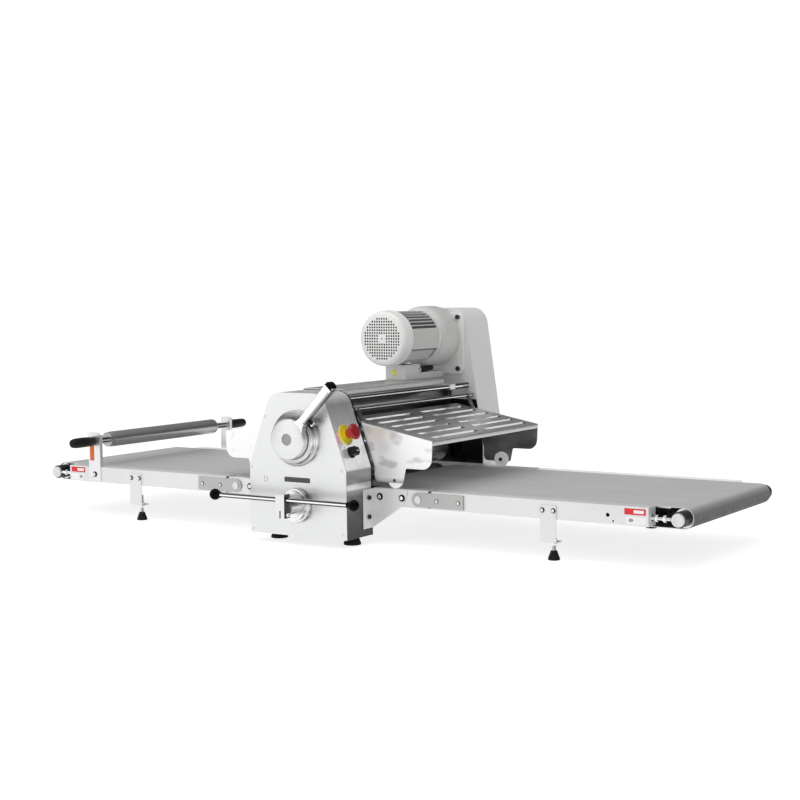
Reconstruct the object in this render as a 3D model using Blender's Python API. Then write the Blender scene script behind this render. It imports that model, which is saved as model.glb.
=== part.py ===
"""Bench-top dough sheeter: two sheeting rolls between a front control housing and a rear drive housing, with
a folding belt table and a swing-up guard on each side. Metres, +Z up, +X to the right, -Y is the front.
The origin is on the floor under the centre of the whole machine."""

import math

import bmesh
import bpy
from mathutils import Matrix, Vector

# Driving dimensions
MID_Y = 0.0385          # mid plane of the rolls and belts
HALF_OPEN = 0.303       # mid plane to the housings' inner faces, and to the rails' outer faces
FRONT_IN = MID_Y - HALF_OPEN
REAR_IN = MID_Y + HALF_OPEN
HALF_DEPTH = 0.4635     # half the machine's whole depth, from the ball knobs to the rear cover
GAP = 0.0003            # left between pieces that touch
SHEET = 0.002           # wall of the stainless covers

# Housings
FRONT_Y = -0.3832       # outer face of the front plate
HOUSING_BOTTOM = 0.0228
KNEE_Z = 0.2023         # the sides slope inwards above this height
FRAME_T = 0.006
FRONT_HALF = 0.155
FRONT_SLOPE = 0.366     # sideways run of the sloping side for each metre of height
FRONT_TOP = 0.396
FRONT_CORNER = 0.045
REAR_HALF = 0.1385
REAR_SLOPE = 0.147
REAR_TOP = 0.6015
REAR_CORNER = 0.05

# Rolls and belts
ROLL_R = 0.044
ROLL_HALF = 0.262
BELT_Z = 0.146          # top of the belts
BELT_T = 0.0016
BELT_HALF = 0.256
LOOP_R = 0.0256         # outer radius of a belt round its roller
LOOP_Z = BELT_Z - LOOP_R
ROLLER_R = LOOP_R - BELT_T - GAP
ROLLER_HALF = 0.253
DRIVE_X = 0.075
END_X = 1.0
ROLL_GAP = 0.008        # between the two rolls at rest
LOWER_ROLL_Z = BELT_Z - ROLL_R
UPPER_ROLL_Z = BELT_Z + ROLL_GAP + ROLL_R
LIFT_UP = 0.020
LIFT_DOWN = 0.0075

# Gap lever and control bar
LEVER_Z = 0.2785
LEVER_ANGLE = math.radians(46.2)
LEVER_LENGTH = 0.200
LEVER_SHAFT_R = 0.012
HUB_R = 0.053
HUB_FRONT_Y = -0.4265
RING_FRONT_Y = -0.4050
RING_R = 0.0725
CONTROL_Z = 0.104
BAR_Z = 0.126
BAR_HALF = 0.222
BAR_R = 0.0055
KNOB_R = 0.016
BAR_Y = KNOB_R - HALF_DEPTH

# Motor
MOTOR_X = -0.0175
MOTOR_Z = 0.521
COWL_R = 0.0795
COWL_Y = 0.0455
BARREL_Y = 0.0875
BELL_Y = 0.2385
BELL_R = 0.088
FLANGE_T = 0.011
LEAD_R = 0.0060
LEAD = [
    (0.004, 0.1920, 0.4275),
    (0.004, 0.2060, 0.4272),
    (0.004, 0.2200, 0.4264),
    (0.004, 0.2340, 0.4256),
    (0.004, 0.2480, 0.4258),
    (0.004, 0.2610, 0.4272),
    (0.004, 0.2730, 0.4288),
]

# Tables
PIVOT_X = 0.297
PIVOT_Z = 0.124
FIXED_END_X = 0.3255
RAIL_START_X = 0.3345
RAIL_END_X = 0.9316
RAIL_TOP = 0.1467
RAIL_BOTTOM = 0.101
RAIL_FLANGE = 0.043
LEG_X = 0.669
FOOT_SHIFT = 0.008      # every table foot sits this much to the right of its bracket
RACK_X = -0.829
PIN_X = -0.838
PIN_Z = 0.2215

# Guards
GUARD_ROD_X = 0.104
GUARD_ROD_Z = 0.349
GUARD_ROD_R = 0.0045
GUARD_IN_X = 0.068
GUARD_OUT_X = 0.3366
GUARD_OUT_Z = 0.2744
GUARD_SLOPE = 0.1876
GUARD_FRONT_Y = -0.2605
GUARD_REAR_Y = 0.3100
WHEEL_X = 0.221
WHEEL_R = 0.0212
WHEEL_Z = RAIL_TOP + GAP + WHEEL_R

# Controls on the sloping side panel
PANEL_Y = -0.338
STOP_Z = 0.289
SELECTOR_Z = 0.2440

FINISHES = {
    "stainless": ((0.72, 0.72, 0.73), 1.0, 0.32),
    "polished": ((0.86, 0.87, 0.88), 1.0, 0.08),
    "chrome": ((0.80, 0.81, 0.82), 1.0, 0.12),
    "painted": ((0.66, 0.67, 0.67), 0.0, 0.45),
    "rail_paint": ((0.86, 0.86, 0.86), 0.2, 0.40),
    "belt": ((0.40, 0.40, 0.40), 0.0, 0.75),
    "black_plastic": ((0.02, 0.02, 0.02), 0.0, 0.40),
    "rubber": ((0.02, 0.02, 0.02), 0.0, 0.80),
    "white_plastic": ((0.85, 0.86, 0.84), 0.0, 0.40),
    "steel": ((0.55, 0.55, 0.56), 1.0, 0.35),
    "yellow": ((0.80, 0.68, 0.03), 0.0, 0.45),
    "red": ((0.60, 0.02, 0.04), 0.0, 0.35),
}


def finish(name):
    """The Principled material of this name, made on first use."""
    known = bpy.data.materials.get(name)
    if known:
        return known
    colour, metallic, roughness = FINISHES[name]
    material = bpy.data.materials.new(name)
    material.use_nodes = True
    shader = material.node_tree.nodes["Principled BSDF"]
    shader.inputs["Base Color"].default_value = (*colour, 1.0)
    shader.inputs["Metallic"].default_value = metallic
    shader.inputs["Roughness"].default_value = roughness
    material.diffuse_color = (*colour, 1.0)
    return material


def block(x0, x1, y0, y1, z0, z1):
    """A closed box between two corners."""
    bm = bmesh.new()
    bmesh.ops.create_cube(bm, size=1.0)
    size = Matrix.Diagonal((x1 - x0, y1 - y0, z1 - z0, 1.0))
    middle = Matrix.Translation(((x0 + x1) / 2, (y0 + y1) / 2, (z0 + z1) / 2))
    bm.transform(middle @ size)
    return bm


def slab(outline, y0, y1):
    """An XZ outline extruded along Y."""
    bm = bmesh.new()
    face = bm.faces.new([bm.verts.new((x, y0, z)) for x, z in outline])
    swept = bmesh.ops.extrude_face_region(bm, geom=[face])
    moved = [item for item in swept["geom"] if isinstance(item, bmesh.types.BMVert)]
    bmesh.ops.translate(bm, verts=moved, vec=(0, y1 - y0, 0))
    bmesh.ops.recalc_face_normals(bm, faces=bm.faces)
    return bm


def turned(profile, base, direction, sides=32):
    """A solid of revolution from (distance along the axis, radius) pairs, closed at both ends."""
    bm = bmesh.new()
    rings = []
    for along, radius in profile:
        ring = []
        for k in range(sides):
            turn = 2 * math.pi * k / sides
            ring.append(bm.verts.new((radius * math.cos(turn), radius * math.sin(turn), along)))
        rings.append(ring)
    bm.faces.new(rings[0])
    bm.faces.new(rings[-1])
    for low, high in zip(rings, rings[1:]):
        for k in range(sides):
            after = (k + 1) % sides
            bm.faces.new((low[k], low[after], high[after], high[k]))
    bmesh.ops.recalc_face_normals(bm, faces=bm.faces)
    turn = Vector((0, 0, 1)).rotation_difference(Vector(direction)).to_matrix().to_4x4()
    bm.transform(Matrix.Translation(base) @ turn)
    return bm


def swept(points, radius, sides=12):
    """A closed tube along points that lie in one YZ plane."""
    bm = bmesh.new()
    rings = []
    for k, point in enumerate(points):
        before, after = Vector(points[max(k - 1, 0)]), Vector(points[min(k + 1, len(points) - 1)])
        along = (after - before).normalized()
        across = Vector((1, 0, 0))
        ring = []
        for step in range(sides):
            turn = 2 * math.pi * step / sides
            spoke = across * math.cos(turn) + along.cross(across) * math.sin(turn)
            ring.append(bm.verts.new(Vector(point) + spoke * radius))
        rings.append(ring)
    bm.faces.new(rings[0])
    bm.faces.new(rings[-1])
    for low, high in zip(rings, rings[1:]):
        for step in range(sides):
            after = (step + 1) % sides
            bm.faces.new((low[step], low[after], high[after], high[step]))
    bmesh.ops.recalc_face_normals(bm, faces=bm.faces)
    return bm


def rod_y(x, z, radius, y0, y1, sides=32):
    """A round bar along Y."""
    return turned([(0, radius), (y1 - y0, radius)], (x, y0, z), (0, 1, 0), sides)


def rod_x(y, z, radius, x0, x1, sides=16):
    """A round bar along X."""
    return turned([(0, radius), (x1 - x0, radius)], (x0, y, z), (1, 0, 0), sides)


def rod_z(x, y, radius, z0, z1, sides=16):
    """A round bar along Z."""
    return turned([(0, radius), (z1 - z0, radius)], (x, y, z0), (0, 0, 1), sides)


def rounded(corners, steps=5):
    """The outline through (x, z, radius) corners, each with an arc of its radius."""
    outline = []
    count = len(corners)
    for k in range(count):
        x, z, radius = corners[k]
        corner = Vector((x, z))
        if radius <= 0:
            outline.append((x, z))
            continue
        before = (Vector(corners[k - 1][:2]) - corner).normalized()
        after = (Vector(corners[(k + 1) % count][:2]) - corner).normalized()
        half = before.angle(after) / 2
        centre = corner + (before + after).normalized() * (radius / math.sin(half))
        start = corner + before * (radius / math.tan(half)) - centre
        end = corner + after * (radius / math.tan(half)) - centre
        sweep = start.angle_signed(end)
        for step in range(steps + 1):
            turn = -sweep * step / steps
            spoke = Matrix.Rotation(turn, 2) @ start
            outline.append((centre.x + spoke.x, centre.y + spoke.y))
    return outline


def arc(x, z, radius, start_deg, end_deg, steps):
    """Points on an arc in the XZ plane, degrees from +X towards +Z."""
    turns = [math.radians(start_deg + (end_deg - start_deg) * k / steps) for k in range(steps + 1)]
    return [(x + radius * math.cos(turn), z + radius * math.sin(turn)) for turn in turns]


def mirrored(outline, side):
    """The outline, or its mirror image in the YZ plane when side is -1."""
    return [(side * x, z) for x, z in outline]


def span(side, near, far):
    """The two X values in rising order, on the right for side 1 and on the left for side -1."""
    return sorted((side * near, side * far))


def store(name, bm, material, pivot):
    """A mesh object made from bm, with its origin at pivot."""
    bm.transform(Matrix.Translation(-Vector(pivot)))
    mesh = bpy.data.meshes.new(name)
    bm.to_mesh(mesh)
    bm.free()
    mesh.shade_smooth()
    mesh.set_sharp_from_angle(angle=math.radians(35))
    if material:
        mesh.materials.append(finish(material))
    obj = bpy.data.objects.new(name, mesh)
    obj.location = pivot
    bpy.context.scene.collection.objects.link(obj)
    return obj


def combine(obj, shapes, operation):
    """Joins shapes to the object, or cuts them from it, with one Boolean modifier each."""
    for index, bm in enumerate(shapes):
        helper = store(f"{obj.name}_{operation.lower()}_{index}", bm, None, (0, 0, 0))
        helper.hide_render = True
        helper.display_type = "WIRE"
        modifier = obj.modifiers.new(f"{operation.lower()}_{index}", "BOOLEAN")
        modifier.operation = operation
        modifier.solver = "EXACT"
        modifier.object = helper


def piece(name, material, adds, cuts=(), pivot=(0, 0, 0), parent=None):
    """One sub-part: the union of adds, less cuts."""
    obj = store(name, adds[0], material, pivot)
    combine(obj, adds[1:], "UNION")
    combine(obj, cuts, "DIFFERENCE")
    if parent:
        obj.parent = parent
        obj.matrix_parent_inverse = Matrix.Translation(parent.location).inverted()
    return obj


def pivot_empty(name, place):
    """An empty on a joint's axis, which carries the pieces that turn about it."""
    empty = bpy.data.objects.new(name, None)
    empty.location = place
    empty.empty_display_size = 0.03
    bpy.context.scene.collection.objects.link(empty)
    return empty


# ---- Housings ----

def housing_outline(half, slope, top, corner, inset=0.0):
    """Upright lower sides, sloping upper sides and round top corners."""
    low = half - inset
    high = low - slope * (top - KNEE_Z)
    base = HOUSING_BOTTOM + inset
    right = [(low, base, 0), (low, KNEE_Z, 0.004), (high, top - inset, corner - inset)]
    left = [(-x, z, radius) for x, z, radius in reversed(right)]
    return rounded(right + left)


def front_outline(inset=0.0):
    """The front housing's outline, or one drawn in from it."""
    return housing_outline(FRONT_HALF, FRONT_SLOPE, FRONT_TOP, FRONT_CORNER, inset)


def rear_outline(inset=0.0):
    """The rear housing's outline, or one drawn in from it."""
    return housing_outline(REAR_HALF, REAR_SLOPE, REAR_TOP, REAR_CORNER, inset)


def shaft_holes(y0, y1):
    """Running clearance round the lower roll's, drive rollers' and lever's shafts."""
    holes = [rod_y(0, LOWER_ROLL_Z, 0.0108, y0, y1, 24)]
    holes += [rod_y(side * DRIVE_X, LOOP_Z, 0.0088, y0, y1, 24) for side in (1, -1)]
    holes.append(rod_y(0, LEVER_Z, LEVER_SHAFT_R + 0.0008, y0, y1, 24))
    return holes


def build_front_housing():
    """Front plate, polished casing and the frame plate behind it."""
    back = FRONT_Y + SHEET
    holes = [rod_y(0, LEVER_Z, LEVER_SHAFT_R + 0.001, FRONT_Y - 0.01, back + 0.01, 24)]
    holes.append(rod_y(0, CONTROL_Z, 0.0115, FRONT_Y - 0.01, back + 0.01, 24))
    piece("front_plate", "stainless", [slab(front_outline(), FRONT_Y, back)], holes)
    wrap = slab(front_outline(), back + GAP, FRONT_IN - FRAME_T - GAP)
    hollow = slab(front_outline(SHEET), back - 0.01, FRONT_IN)
    piece("front_casing", "polished", [wrap], [hollow])
    frame = slab(front_outline(), FRONT_IN - FRAME_T, FRONT_IN)
    piece("front_frame_plate", "stainless", [frame], shaft_holes(FRONT_IN - 0.02, FRONT_IN + 0.01))


def build_rear_housing():
    """Rear frame plate and the hollow cover behind it."""
    frame = slab(rear_outline(), REAR_IN, REAR_IN + FRAME_T)
    motor_hole = rod_y(MOTOR_X, MOTOR_Z, 0.012, REAR_IN - 0.01, REAR_IN + 0.02, 24)
    cuts = shaft_holes(REAR_IN - 0.01, REAR_IN + 0.02)[:3] + [motor_hole]
    piece("rear_frame_plate", "painted", [frame], cuts)
    shell = slab(rear_outline(), REAR_IN + FRAME_T + GAP, HALF_DEPTH)
    hollow = slab(rear_outline(SHEET), REAR_IN, HALF_DEPTH - SHEET)
    piece("rear_cover", "painted", [shell], [hollow])


def build_top_cover():
    """The channel between the housings, with a tie rod along each side."""
    half, low, high, end = 0.065, 0.377, 0.400, 0.2435
    wall = 0.0015
    start = FRONT_IN + GAP
    rod_x_place = 0.084
    lump_start, lump_end = 0.2335, 0.2620
    adds = [block(-half, half, start, end, low, high)]
    for side in (1, -1):
        x = side * rod_x_place
        adds.append(rod_y(x, low, 0.005, start, lump_start + 0.004, 16))
        adds.append(rod_y(x, low, 0.009, lump_end - 0.004, REAR_IN - GAP, 20))
        near, far = span(side, half - wall, 0.093)
        adds.append(block(near, far, lump_start, lump_end, 0.3685, 0.3855))
        near, far = span(side, half - wall, rod_x_place)
        adds.append(block(near, far, start + 0.003, start + 0.010, low + 0.0005, low + 0.0045))
    hollow = block(wall - half, half - wall, start - 0.01, end + 0.01, low - 0.01, high - wall)
    piece("top_cover", "stainless", adds, [hollow])


def build_guard_rods():
    """The two chrome rods that the guards hang from."""
    for side, word in ((1, "right"), (-1, "left")):
        bar = rod_y(side * GUARD_ROD_X, GUARD_ROD_Z, GUARD_ROD_R, FRONT_IN + GAP, REAR_IN - GAP, 20)
        piece(f"{word}_guard_rod", "chrome", [bar])


def build_foot_bars():
    """Two rubber feet on a strap under each housing."""
    foot_x, foot_r, strap_half = 0.1185, 0.0230, 0.016
    profile = [(0, foot_r), (0.004, foot_r), (0.0165, 0.8 * foot_r)]
    for word, y in (("front", -0.3065), ("rear", REAR_IN + 0.061)):
        top = HOUSING_BOTTOM - GAP
        adds = [block(-foot_x - 0.012, foot_x + 0.012, y - strap_half, y + strap_half, 0.0135, top)]
        adds += [turned(profile, (side * foot_x, y, 0), (0, 0, 1), 24) for side in (1, -1)]
        piece(f"{word}_foot_bar", "rubber", adds)


# ---- Rolls, lever and drive ----

def build_rolls():
    """The lower roll with its sprocket, and the upper roll."""
    y0, y1 = MID_Y - ROLL_HALF, MID_Y + ROLL_HALF
    lower = [rod_y(0, LOWER_ROLL_Z, ROLL_R, y0, y1, 40)]
    lower.append(rod_y(0, LOWER_ROLL_Z, 0.010, FRONT_IN - 0.005, 0.386, 24))
    lower.append(rod_y(0, LOWER_ROLL_Z, 0.0435, 0.3720, 0.3780, 36))
    piece("lower_roll", "chrome", lower, pivot=(0, MID_Y, LOWER_ROLL_Z))
    upper = [rod_y(0, UPPER_ROLL_Z, ROLL_R, y0, y1, 40)]
    upper.append(rod_y(0, UPPER_ROLL_Z, 0.012, MID_Y - 0.292, MID_Y + 0.292, 24))
    piece("upper_roll", "chrome", upper, pivot=(0, MID_Y, UPPER_ROLL_Z))
    for side, word in ((1, "right"), (-1, "left")):
        x = side * DRIVE_X
        roller = [rod_y(x, LOOP_Z, ROLLER_R, MID_Y - ROLLER_HALF, MID_Y + ROLLER_HALF, 32)]
        roller.append(rod_y(x, LOOP_Z, 0.008, FRONT_IN - 0.005, 0.366, 20))
        roller.append(rod_y(x, LOOP_Z, 0.018, 0.3560, 0.3620, 24))
        piece(f"{word}_drive_roller", "steel", roller, pivot=(x, MID_Y, LOOP_Z))


def build_carriage():
    """The end blocks that hold the upper roll, and the tube that joins them."""
    half_x, low, high, thick = 0.035, 0.160, 0.372, 0.020
    end_gap = 0.006
    tube_z, tube_r = 0.345, 0.022
    front, rear = FRONT_IN + end_gap, REAR_IN - end_gap
    adds = [block(-half_x, half_x, front, front + thick, low, high)]
    adds.append(block(-half_x, half_x, rear - thick, rear, low, high))
    adds.append(rod_y(0, tube_z, tube_r, front + thick / 2, rear - thick / 2, 32))
    slot_low = LEVER_Z - LEVER_SHAFT_R - LIFT_UP - 0.001
    slot_high = LEVER_Z + LEVER_SHAFT_R + LIFT_DOWN + 0.001
    slot_half = LEVER_SHAFT_R + 0.0008
    cuts = [rod_y(0, UPPER_ROLL_Z, 0.0128, front - 0.01, rear + 0.01, 24)]
    cuts.append(block(-slot_half, slot_half, front - 0.01, rear + 0.01, slot_low, slot_high))
    piece("roll_carriage", "chrome", adds, cuts, pivot=(0, MID_Y, UPPER_ROLL_Z))


def build_gap_lever():
    """The hub and arm in front of the index ring, on the shaft that lifts the carriage."""
    back = RING_FRONT_Y - GAP
    near, half, corner = 0.030, 0.0130, 0.006
    arm = [(near, -0.0105), (LEVER_LENGTH - corner, -half)]
    arm += arc(LEVER_LENGTH - corner, corner - half, corner, -70, 0, 3)
    arm += arc(LEVER_LENGTH - corner, half - corner, corner, 0, 70, 3)
    arm += [(LEVER_LENGTH - corner, half), (near, 0.0105)]
    turn = Matrix.Rotation(LEVER_ANGLE, 2)
    placed = [turn @ Vector(point) for point in arm]
    outline = [(point.x, LEVER_Z + point.y) for point in placed]
    adds = [rod_y(0, LEVER_Z, HUB_R, HUB_FRONT_Y, back, 48)]
    adds.append(slab(outline, HUB_FRONT_Y, back))
    adds.append(rod_y(0, LEVER_Z, LEVER_SHAFT_R, back - 0.005, REAR_IN - 0.003, 24))
    piece("gap_lever", "polished", adds, pivot=(0, HUB_FRONT_Y, LEVER_Z))


def build_index_ring():
    """The thick ring on the front plate that the lever clicks round, with its stop."""
    adds = [rod_y(0, LEVER_Z, RING_R, RING_FRONT_Y, FRONT_Y - GAP, 48)]
    cuts = [rod_y(0, LEVER_Z, LEVER_SHAFT_R + 0.001, RING_FRONT_Y - 0.01, FRONT_Y + 0.01, 24)]
    piece("index_ring", "polished", adds, cuts)


def build_control_bar():
    """The chrome boss, clamp block and cross bar with a ball knob at each end."""
    boss = [(0, 0.010), (0.0179, 0.010), (0.018, 0.040), (0.022, 0.045), (0.036, 0.045), (0.044, 0.030)]
    boss += [(0.050, 0.019), (0.070, 0.016)]
    inside_y = FRONT_Y + 0.0173
    adds = [turned(boss, (0, inside_y, CONTROL_Z), (0, -1, 0), 36)]
    adds.append(block(-0.0145, 0.0145, BAR_Y - 0.0115, BAR_Y + 0.0135, 0.0785, 0.1405))
    adds.append(rod_x(BAR_Y, BAR_Z, BAR_R, -BAR_HALF, BAR_HALF, 16))
    for side in (1, -1):
        ball = bmesh.new()
        bmesh.ops.create_uvsphere(ball, u_segments=20, v_segments=12, radius=KNOB_R)
        ball.transform(Matrix.Translation((side * BAR_HALF, BAR_Y, BAR_Z)))
        adds.append(ball)
    piece("control_bar", "chrome", adds, pivot=(0, FRONT_Y, CONTROL_Z))


def panel_point(z, out):
    """A point in front of the right sloping side panel, this far out along its normal."""
    normal = panel_normal()
    return Vector((FRONT_HALF - FRONT_SLOPE * (z - KNEE_Z), PANEL_Y, z)) + normal * out


def panel_normal():
    """The way the sloped control panel faces."""
    return Vector((1, 0, FRONT_SLOPE)).normalized()


def build_panel_controls():
    """Emergency stop and selector on the right side panel."""
    normal = panel_normal()
    base = [(0, 0.027), (0.0025, 0.027), (0.0026, 0.0105), (0.009, 0.0105)]
    piece("estop_base", "yellow", [turned(base, panel_point(STOP_Z, GAP), normal, 32)])
    head = [(0, 0.0135), (0.012, 0.0145), (0.018, 0.0185), (0.022, 0.0200), (0.026, 0.0195), (0.0285, 0.0165)]
    button = turned(head, panel_point(STOP_Z, 0.0075), normal, 32)
    bore = turned([(0, 0.0112), (0.010, 0.0112)], panel_point(STOP_Z, 0.0045), normal, 32)
    piece("estop_button", "red", [button], [bore], pivot=panel_point(STOP_Z, 0.0075))
    disc = turned([(0, 0.0135), (0.003, 0.0135)], panel_point(SELECTOR_Z, GAP), normal, 28)
    handle = block(-0.0115, 0.0115, -0.012, 0.012, 0.001, 0.021)
    turn = Vector((0, 0, 1)).rotation_difference(normal).to_matrix().to_4x4()
    handle.transform(Matrix.Translation(panel_point(SELECTOR_Z, GAP)) @ turn)
    piece("selector_knob", "black_plastic", [disc, handle], pivot=panel_point(SELECTOR_Z, GAP))


def build_motor():
    """Cowl, finned barrel with its bell and flange, the rotor inside, and the box below."""
    centre = (MOTOR_X, COWL_Y, MOTOR_Z)
    outer = [(0, COWL_R - 0.008), (0.003, COWL_R - 0.002), (0.010, COWL_R), (BARREL_Y - COWL_Y - GAP, COWL_R)]
    inside = [(SHEET, COWL_R - 0.010), (0.012, COWL_R - SHEET), (0.2, COWL_R - SHEET)]
    hollow = turned(inside, centre, (0, 1, 0), 40)
    piece("fan_cowl", "painted", [turned(outer, centre, (0, 1, 0), 40)], [hollow])
    face = REAR_IN - GAP
    adds = [rod_y(MOTOR_X, MOTOR_Z, 0.0735, BARREL_Y, BELL_Y + 0.004, 12)]
    adds.append(rod_y(MOTOR_X, MOTOR_Z, BELL_R, BELL_Y, face - FLANGE_T / 2, 40))
    right, left, low, high = 0.0795, -0.0985, 0.4090, 0.5900
    flange = [(right, low, 0.018), (right, high, 0.020), (-0.060, high, 0.020), (left, 0.545, 0.020)]
    flange.append((left, low, 0.018))
    adds.append(slab(rounded(flange, 4), face - FLANGE_T, face))
    piece("motor_body", "painted", adds, [rod_y(MOTOR_X, MOTOR_Z, 0.0108, 0, 0.4, 24)])
    rotor = [rod_y(MOTOR_X, MOTOR_Z, 0.060, COWL_Y + 0.012, COWL_Y + 0.032, 32)]
    rotor.append(rod_y(MOTOR_X, MOTOR_Z, 0.010, COWL_Y + 0.006, 0.386, 24))
    rotor.append(rod_y(MOTOR_X, MOTOR_Z, 0.0215, 0.3720, 0.3780, 24))
    piece("motor_rotor", "steel", rotor, pivot=(MOTOR_X, COWL_Y, MOTOR_Z))
    left, right, low = -0.0560, 0.0120, 0.4003
    box = [block(left, right, 0.1205, 0.1985, low, 0.4445), block(left, right, 0.1900, 0.3280, low, 0.4190)]
    box.append(swept(LEAD, LEAD_R))
    piece("terminal_box", "painted", box)


def build_drive_chain():
    """The chain round the motor's and the lower roll's sprockets, as one closed band."""
    low_r, high_r, thick = 0.0440, 0.0220, 0.005
    run = Vector((MOTOR_X, MOTOR_Z - LOWER_ROLL_Z))
    lean = math.degrees(math.atan2(-run.x, run.y))
    splay = math.degrees(math.asin((low_r - high_r) / run.length))

    def band(extra):
        top = arc(MOTOR_X, MOTOR_Z, high_r + extra, lean + splay, lean + 180 - splay, 12)
        bottom = arc(0, LOWER_ROLL_Z, low_r + extra, lean + 180 - splay, lean + 360 + splay, 16)
        return top + bottom

    piece("drive_chain", "steel", [slab(band(thick), 0.3725, 0.3775)], [slab(band(0), 0.36, 0.39)])


# ---- Tables ----

def rail(side, flip, x0, x1):
    """A channel with its web on the outer face and both flanges pointing inwards."""
    outer = MID_Y + flip * HALF_OPEN
    near, far = span(side, x0, x1)
    y0, y1 = sorted((outer, outer - flip * RAIL_FLANGE))
    return block(near, far, y0, y1, RAIL_BOTTOM, RAIL_TOP)


def rail_hollow(side, flip, x0, x1):
    """The space inside a rail's C section."""
    outer = MID_Y + flip * HALF_OPEN
    near, far = span(side, x0, x1)
    y0, y1 = sorted((outer - flip * SHEET, outer - flip * 0.08))
    return block(near, far, y0, y1, RAIL_BOTTOM + SHEET, RAIL_TOP - SHEET)


def build_gusset(side, flip, word):
    """The bracket on a housing's side, with the fixed stub of the rail."""
    half = FRONT_HALF if flip < 0 else REAR_HALF
    outer = MID_Y + flip * HALF_OPEN
    wall = half + GAP
    thick = 0.003
    near, far = span(side, wall, wall + thick)
    y0, y1 = sorted((outer, outer + flip * 0.046))
    adds = [rail(side, flip, wall, FIXED_END_X)]
    adds.append(block(near, far, *sorted((outer - flip * 0.001, outer + flip * 0.046)), 0.043, 0.145))
    web = [(wall, 0.145), (wall, 0.044), (wall + 0.004, 0.044)]
    web += [(0.2520, 0.1055), (0.2640, 0.1430), (0.2620, 0.145)]
    y0, y1 = sorted((outer - flip * 0.001, outer + flip * thick))
    adds.append(slab(mirrored(web, side), y0, y1))
    cuts = [rail_hollow(side, flip, wall + thick, FIXED_END_X + 0.01)]
    cuts.append(rod_y(side * PIVOT_X, PIVOT_Z, 0.0068, outer - 0.02, outer + 0.02, 24))
    piece(f"{word}_gusset", "rail_paint", adds, cuts)


def cross_bars(side, places):
    """Bars that carry a bed, from one rail's web to the other's."""
    reach = HALF_OPEN - SHEET - 0.0005
    bars = []
    for x in places:
        near, far = span(side, x - 0.010, x + 0.010)
        bars.append(block(near, far, MID_Y - reach, MID_Y + reach, 0.1080, 0.1420))
    return bars


def bed(side, x0, x1):
    """The flat plate under a belt's top run."""
    near, far = span(side, x0, x1)
    top = BELT_Z - BELT_T - GAP
    return block(near, far, MID_Y - BELT_HALF + 0.005, MID_Y + BELT_HALF - 0.005, top - 0.003, top)


def belt(side, open_x, closed_x):
    """Half a belt loop: both runs from open_x, and the turn round the roller at closed_x."""
    direction = 1 if closed_x > open_x else -1

    def loop(radius):
        turns = arc(closed_x, LOOP_Z, radius, 90, 90 - direction * 180, 16)
        return [(open_x, LOOP_Z + radius)] + turns + [(open_x, LOOP_Z - radius)]

    band = loop(LOOP_R) + list(reversed(loop(LOOP_R - BELT_T)))
    return slab(mirrored(band, side), MID_Y - BELT_HALF, MID_Y + BELT_HALF)


def build_fixed_bed(side, word):
    """The inner bed and the part of the belt that stays level with it."""
    piece(f"{word}_fixed_bed", "steel", [bed(side, 0.110, FIXED_END_X)] + cross_bars(side, (0.185, 0.255)))
    piece(f"{word}_inner_belt", "belt", [belt(side, FIXED_END_X, DRIVE_X)])


def build_table_rail(side, flip, word, parent):
    """A folding rail with its hinge plate and pivot pin on the outer face."""
    outer = MID_Y + flip * HALF_OPEN
    adds = [rail(side, flip, RAIL_START_X, RAIL_END_X)]
    plate = arc(PIVOT_X, PIVOT_Z, 0.0185, 90, 270, 8) + [(0.431, PIVOT_Z - 0.0185), (0.431, PIVOT_Z + 0.0185)]
    thick = 0.0045
    y0, y1 = sorted((outer + flip * GAP, outer + flip * thick))
    adds.append(slab(mirrored(plate, side), y0, y1))
    near, far = span(side, 0.345, 0.425)
    adds.append(block(near, far, *sorted((outer - flip * 0.001, outer + flip * thick)), 0.110, 0.138))
    pin_y = sorted((outer - flip * 0.012, outer + flip * 0.007))
    adds.append(rod_y(side * PIVOT_X, PIVOT_Z, 0.006, *pin_y, 24))
    boss_y = sorted((outer + flip * 0.003, outer + flip * 0.0085))
    adds.append(rod_y(side * PIVOT_X, PIVOT_Z, 0.0095, *boss_y, 24))
    cuts = [rail_hollow(side, flip, RAIL_START_X - 0.01, RAIL_END_X - 0.003)]
    bolt_y = outer - flip * 0.0195
    near, far = span(side, RAIL_END_X - 0.02, RAIL_END_X + 0.02)
    cuts.append(rod_x(bolt_y, LOOP_Z, 0.0048, near, far, 16))
    piece(f"{word}_rail", "rail_paint", adds, cuts, parent=parent)


def build_end_roller(side, word, parent):
    """The end roller on its fixed shaft, which two bolts pull outwards."""
    place = (side * END_X, MID_Y, LOOP_Z)
    tube = rod_y(side * END_X, LOOP_Z, ROLLER_R, MID_Y - ROLLER_HALF, MID_Y + ROLLER_HALF, 32)
    bore = rod_y(side * END_X, LOOP_Z, 0.0106, MID_Y - 0.3, MID_Y + 0.3, 24)
    piece(f"{word}_end_roller", "steel", [tube], [bore], pivot=place, parent=parent)
    reach = HALF_OPEN - 0.009
    adds = [rod_y(side * END_X, LOOP_Z, 0.010, MID_Y - reach, MID_Y + reach, 24)]
    for flip in (-1, 1):
        face = MID_Y + flip * reach
        adds.append(rod_y(side * END_X, LOOP_Z, 0.016, *sorted((face, face - flip * 0.007)), 28))
        bolt_y = MID_Y + flip * (HALF_OPEN - 0.0195)
        adds.append(rod_x(bolt_y, LOOP_Z, 0.004, *span(side, 0.918, END_X), 12))
        for nut_x in (0.9400, 0.9610):
            adds.append(rod_x(bolt_y, LOOP_Z, 0.0075, *span(side, nut_x, nut_x + 0.0075), 6))
    piece(f"{word}_end_shaft", "steel", adds, parent=parent)


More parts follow.
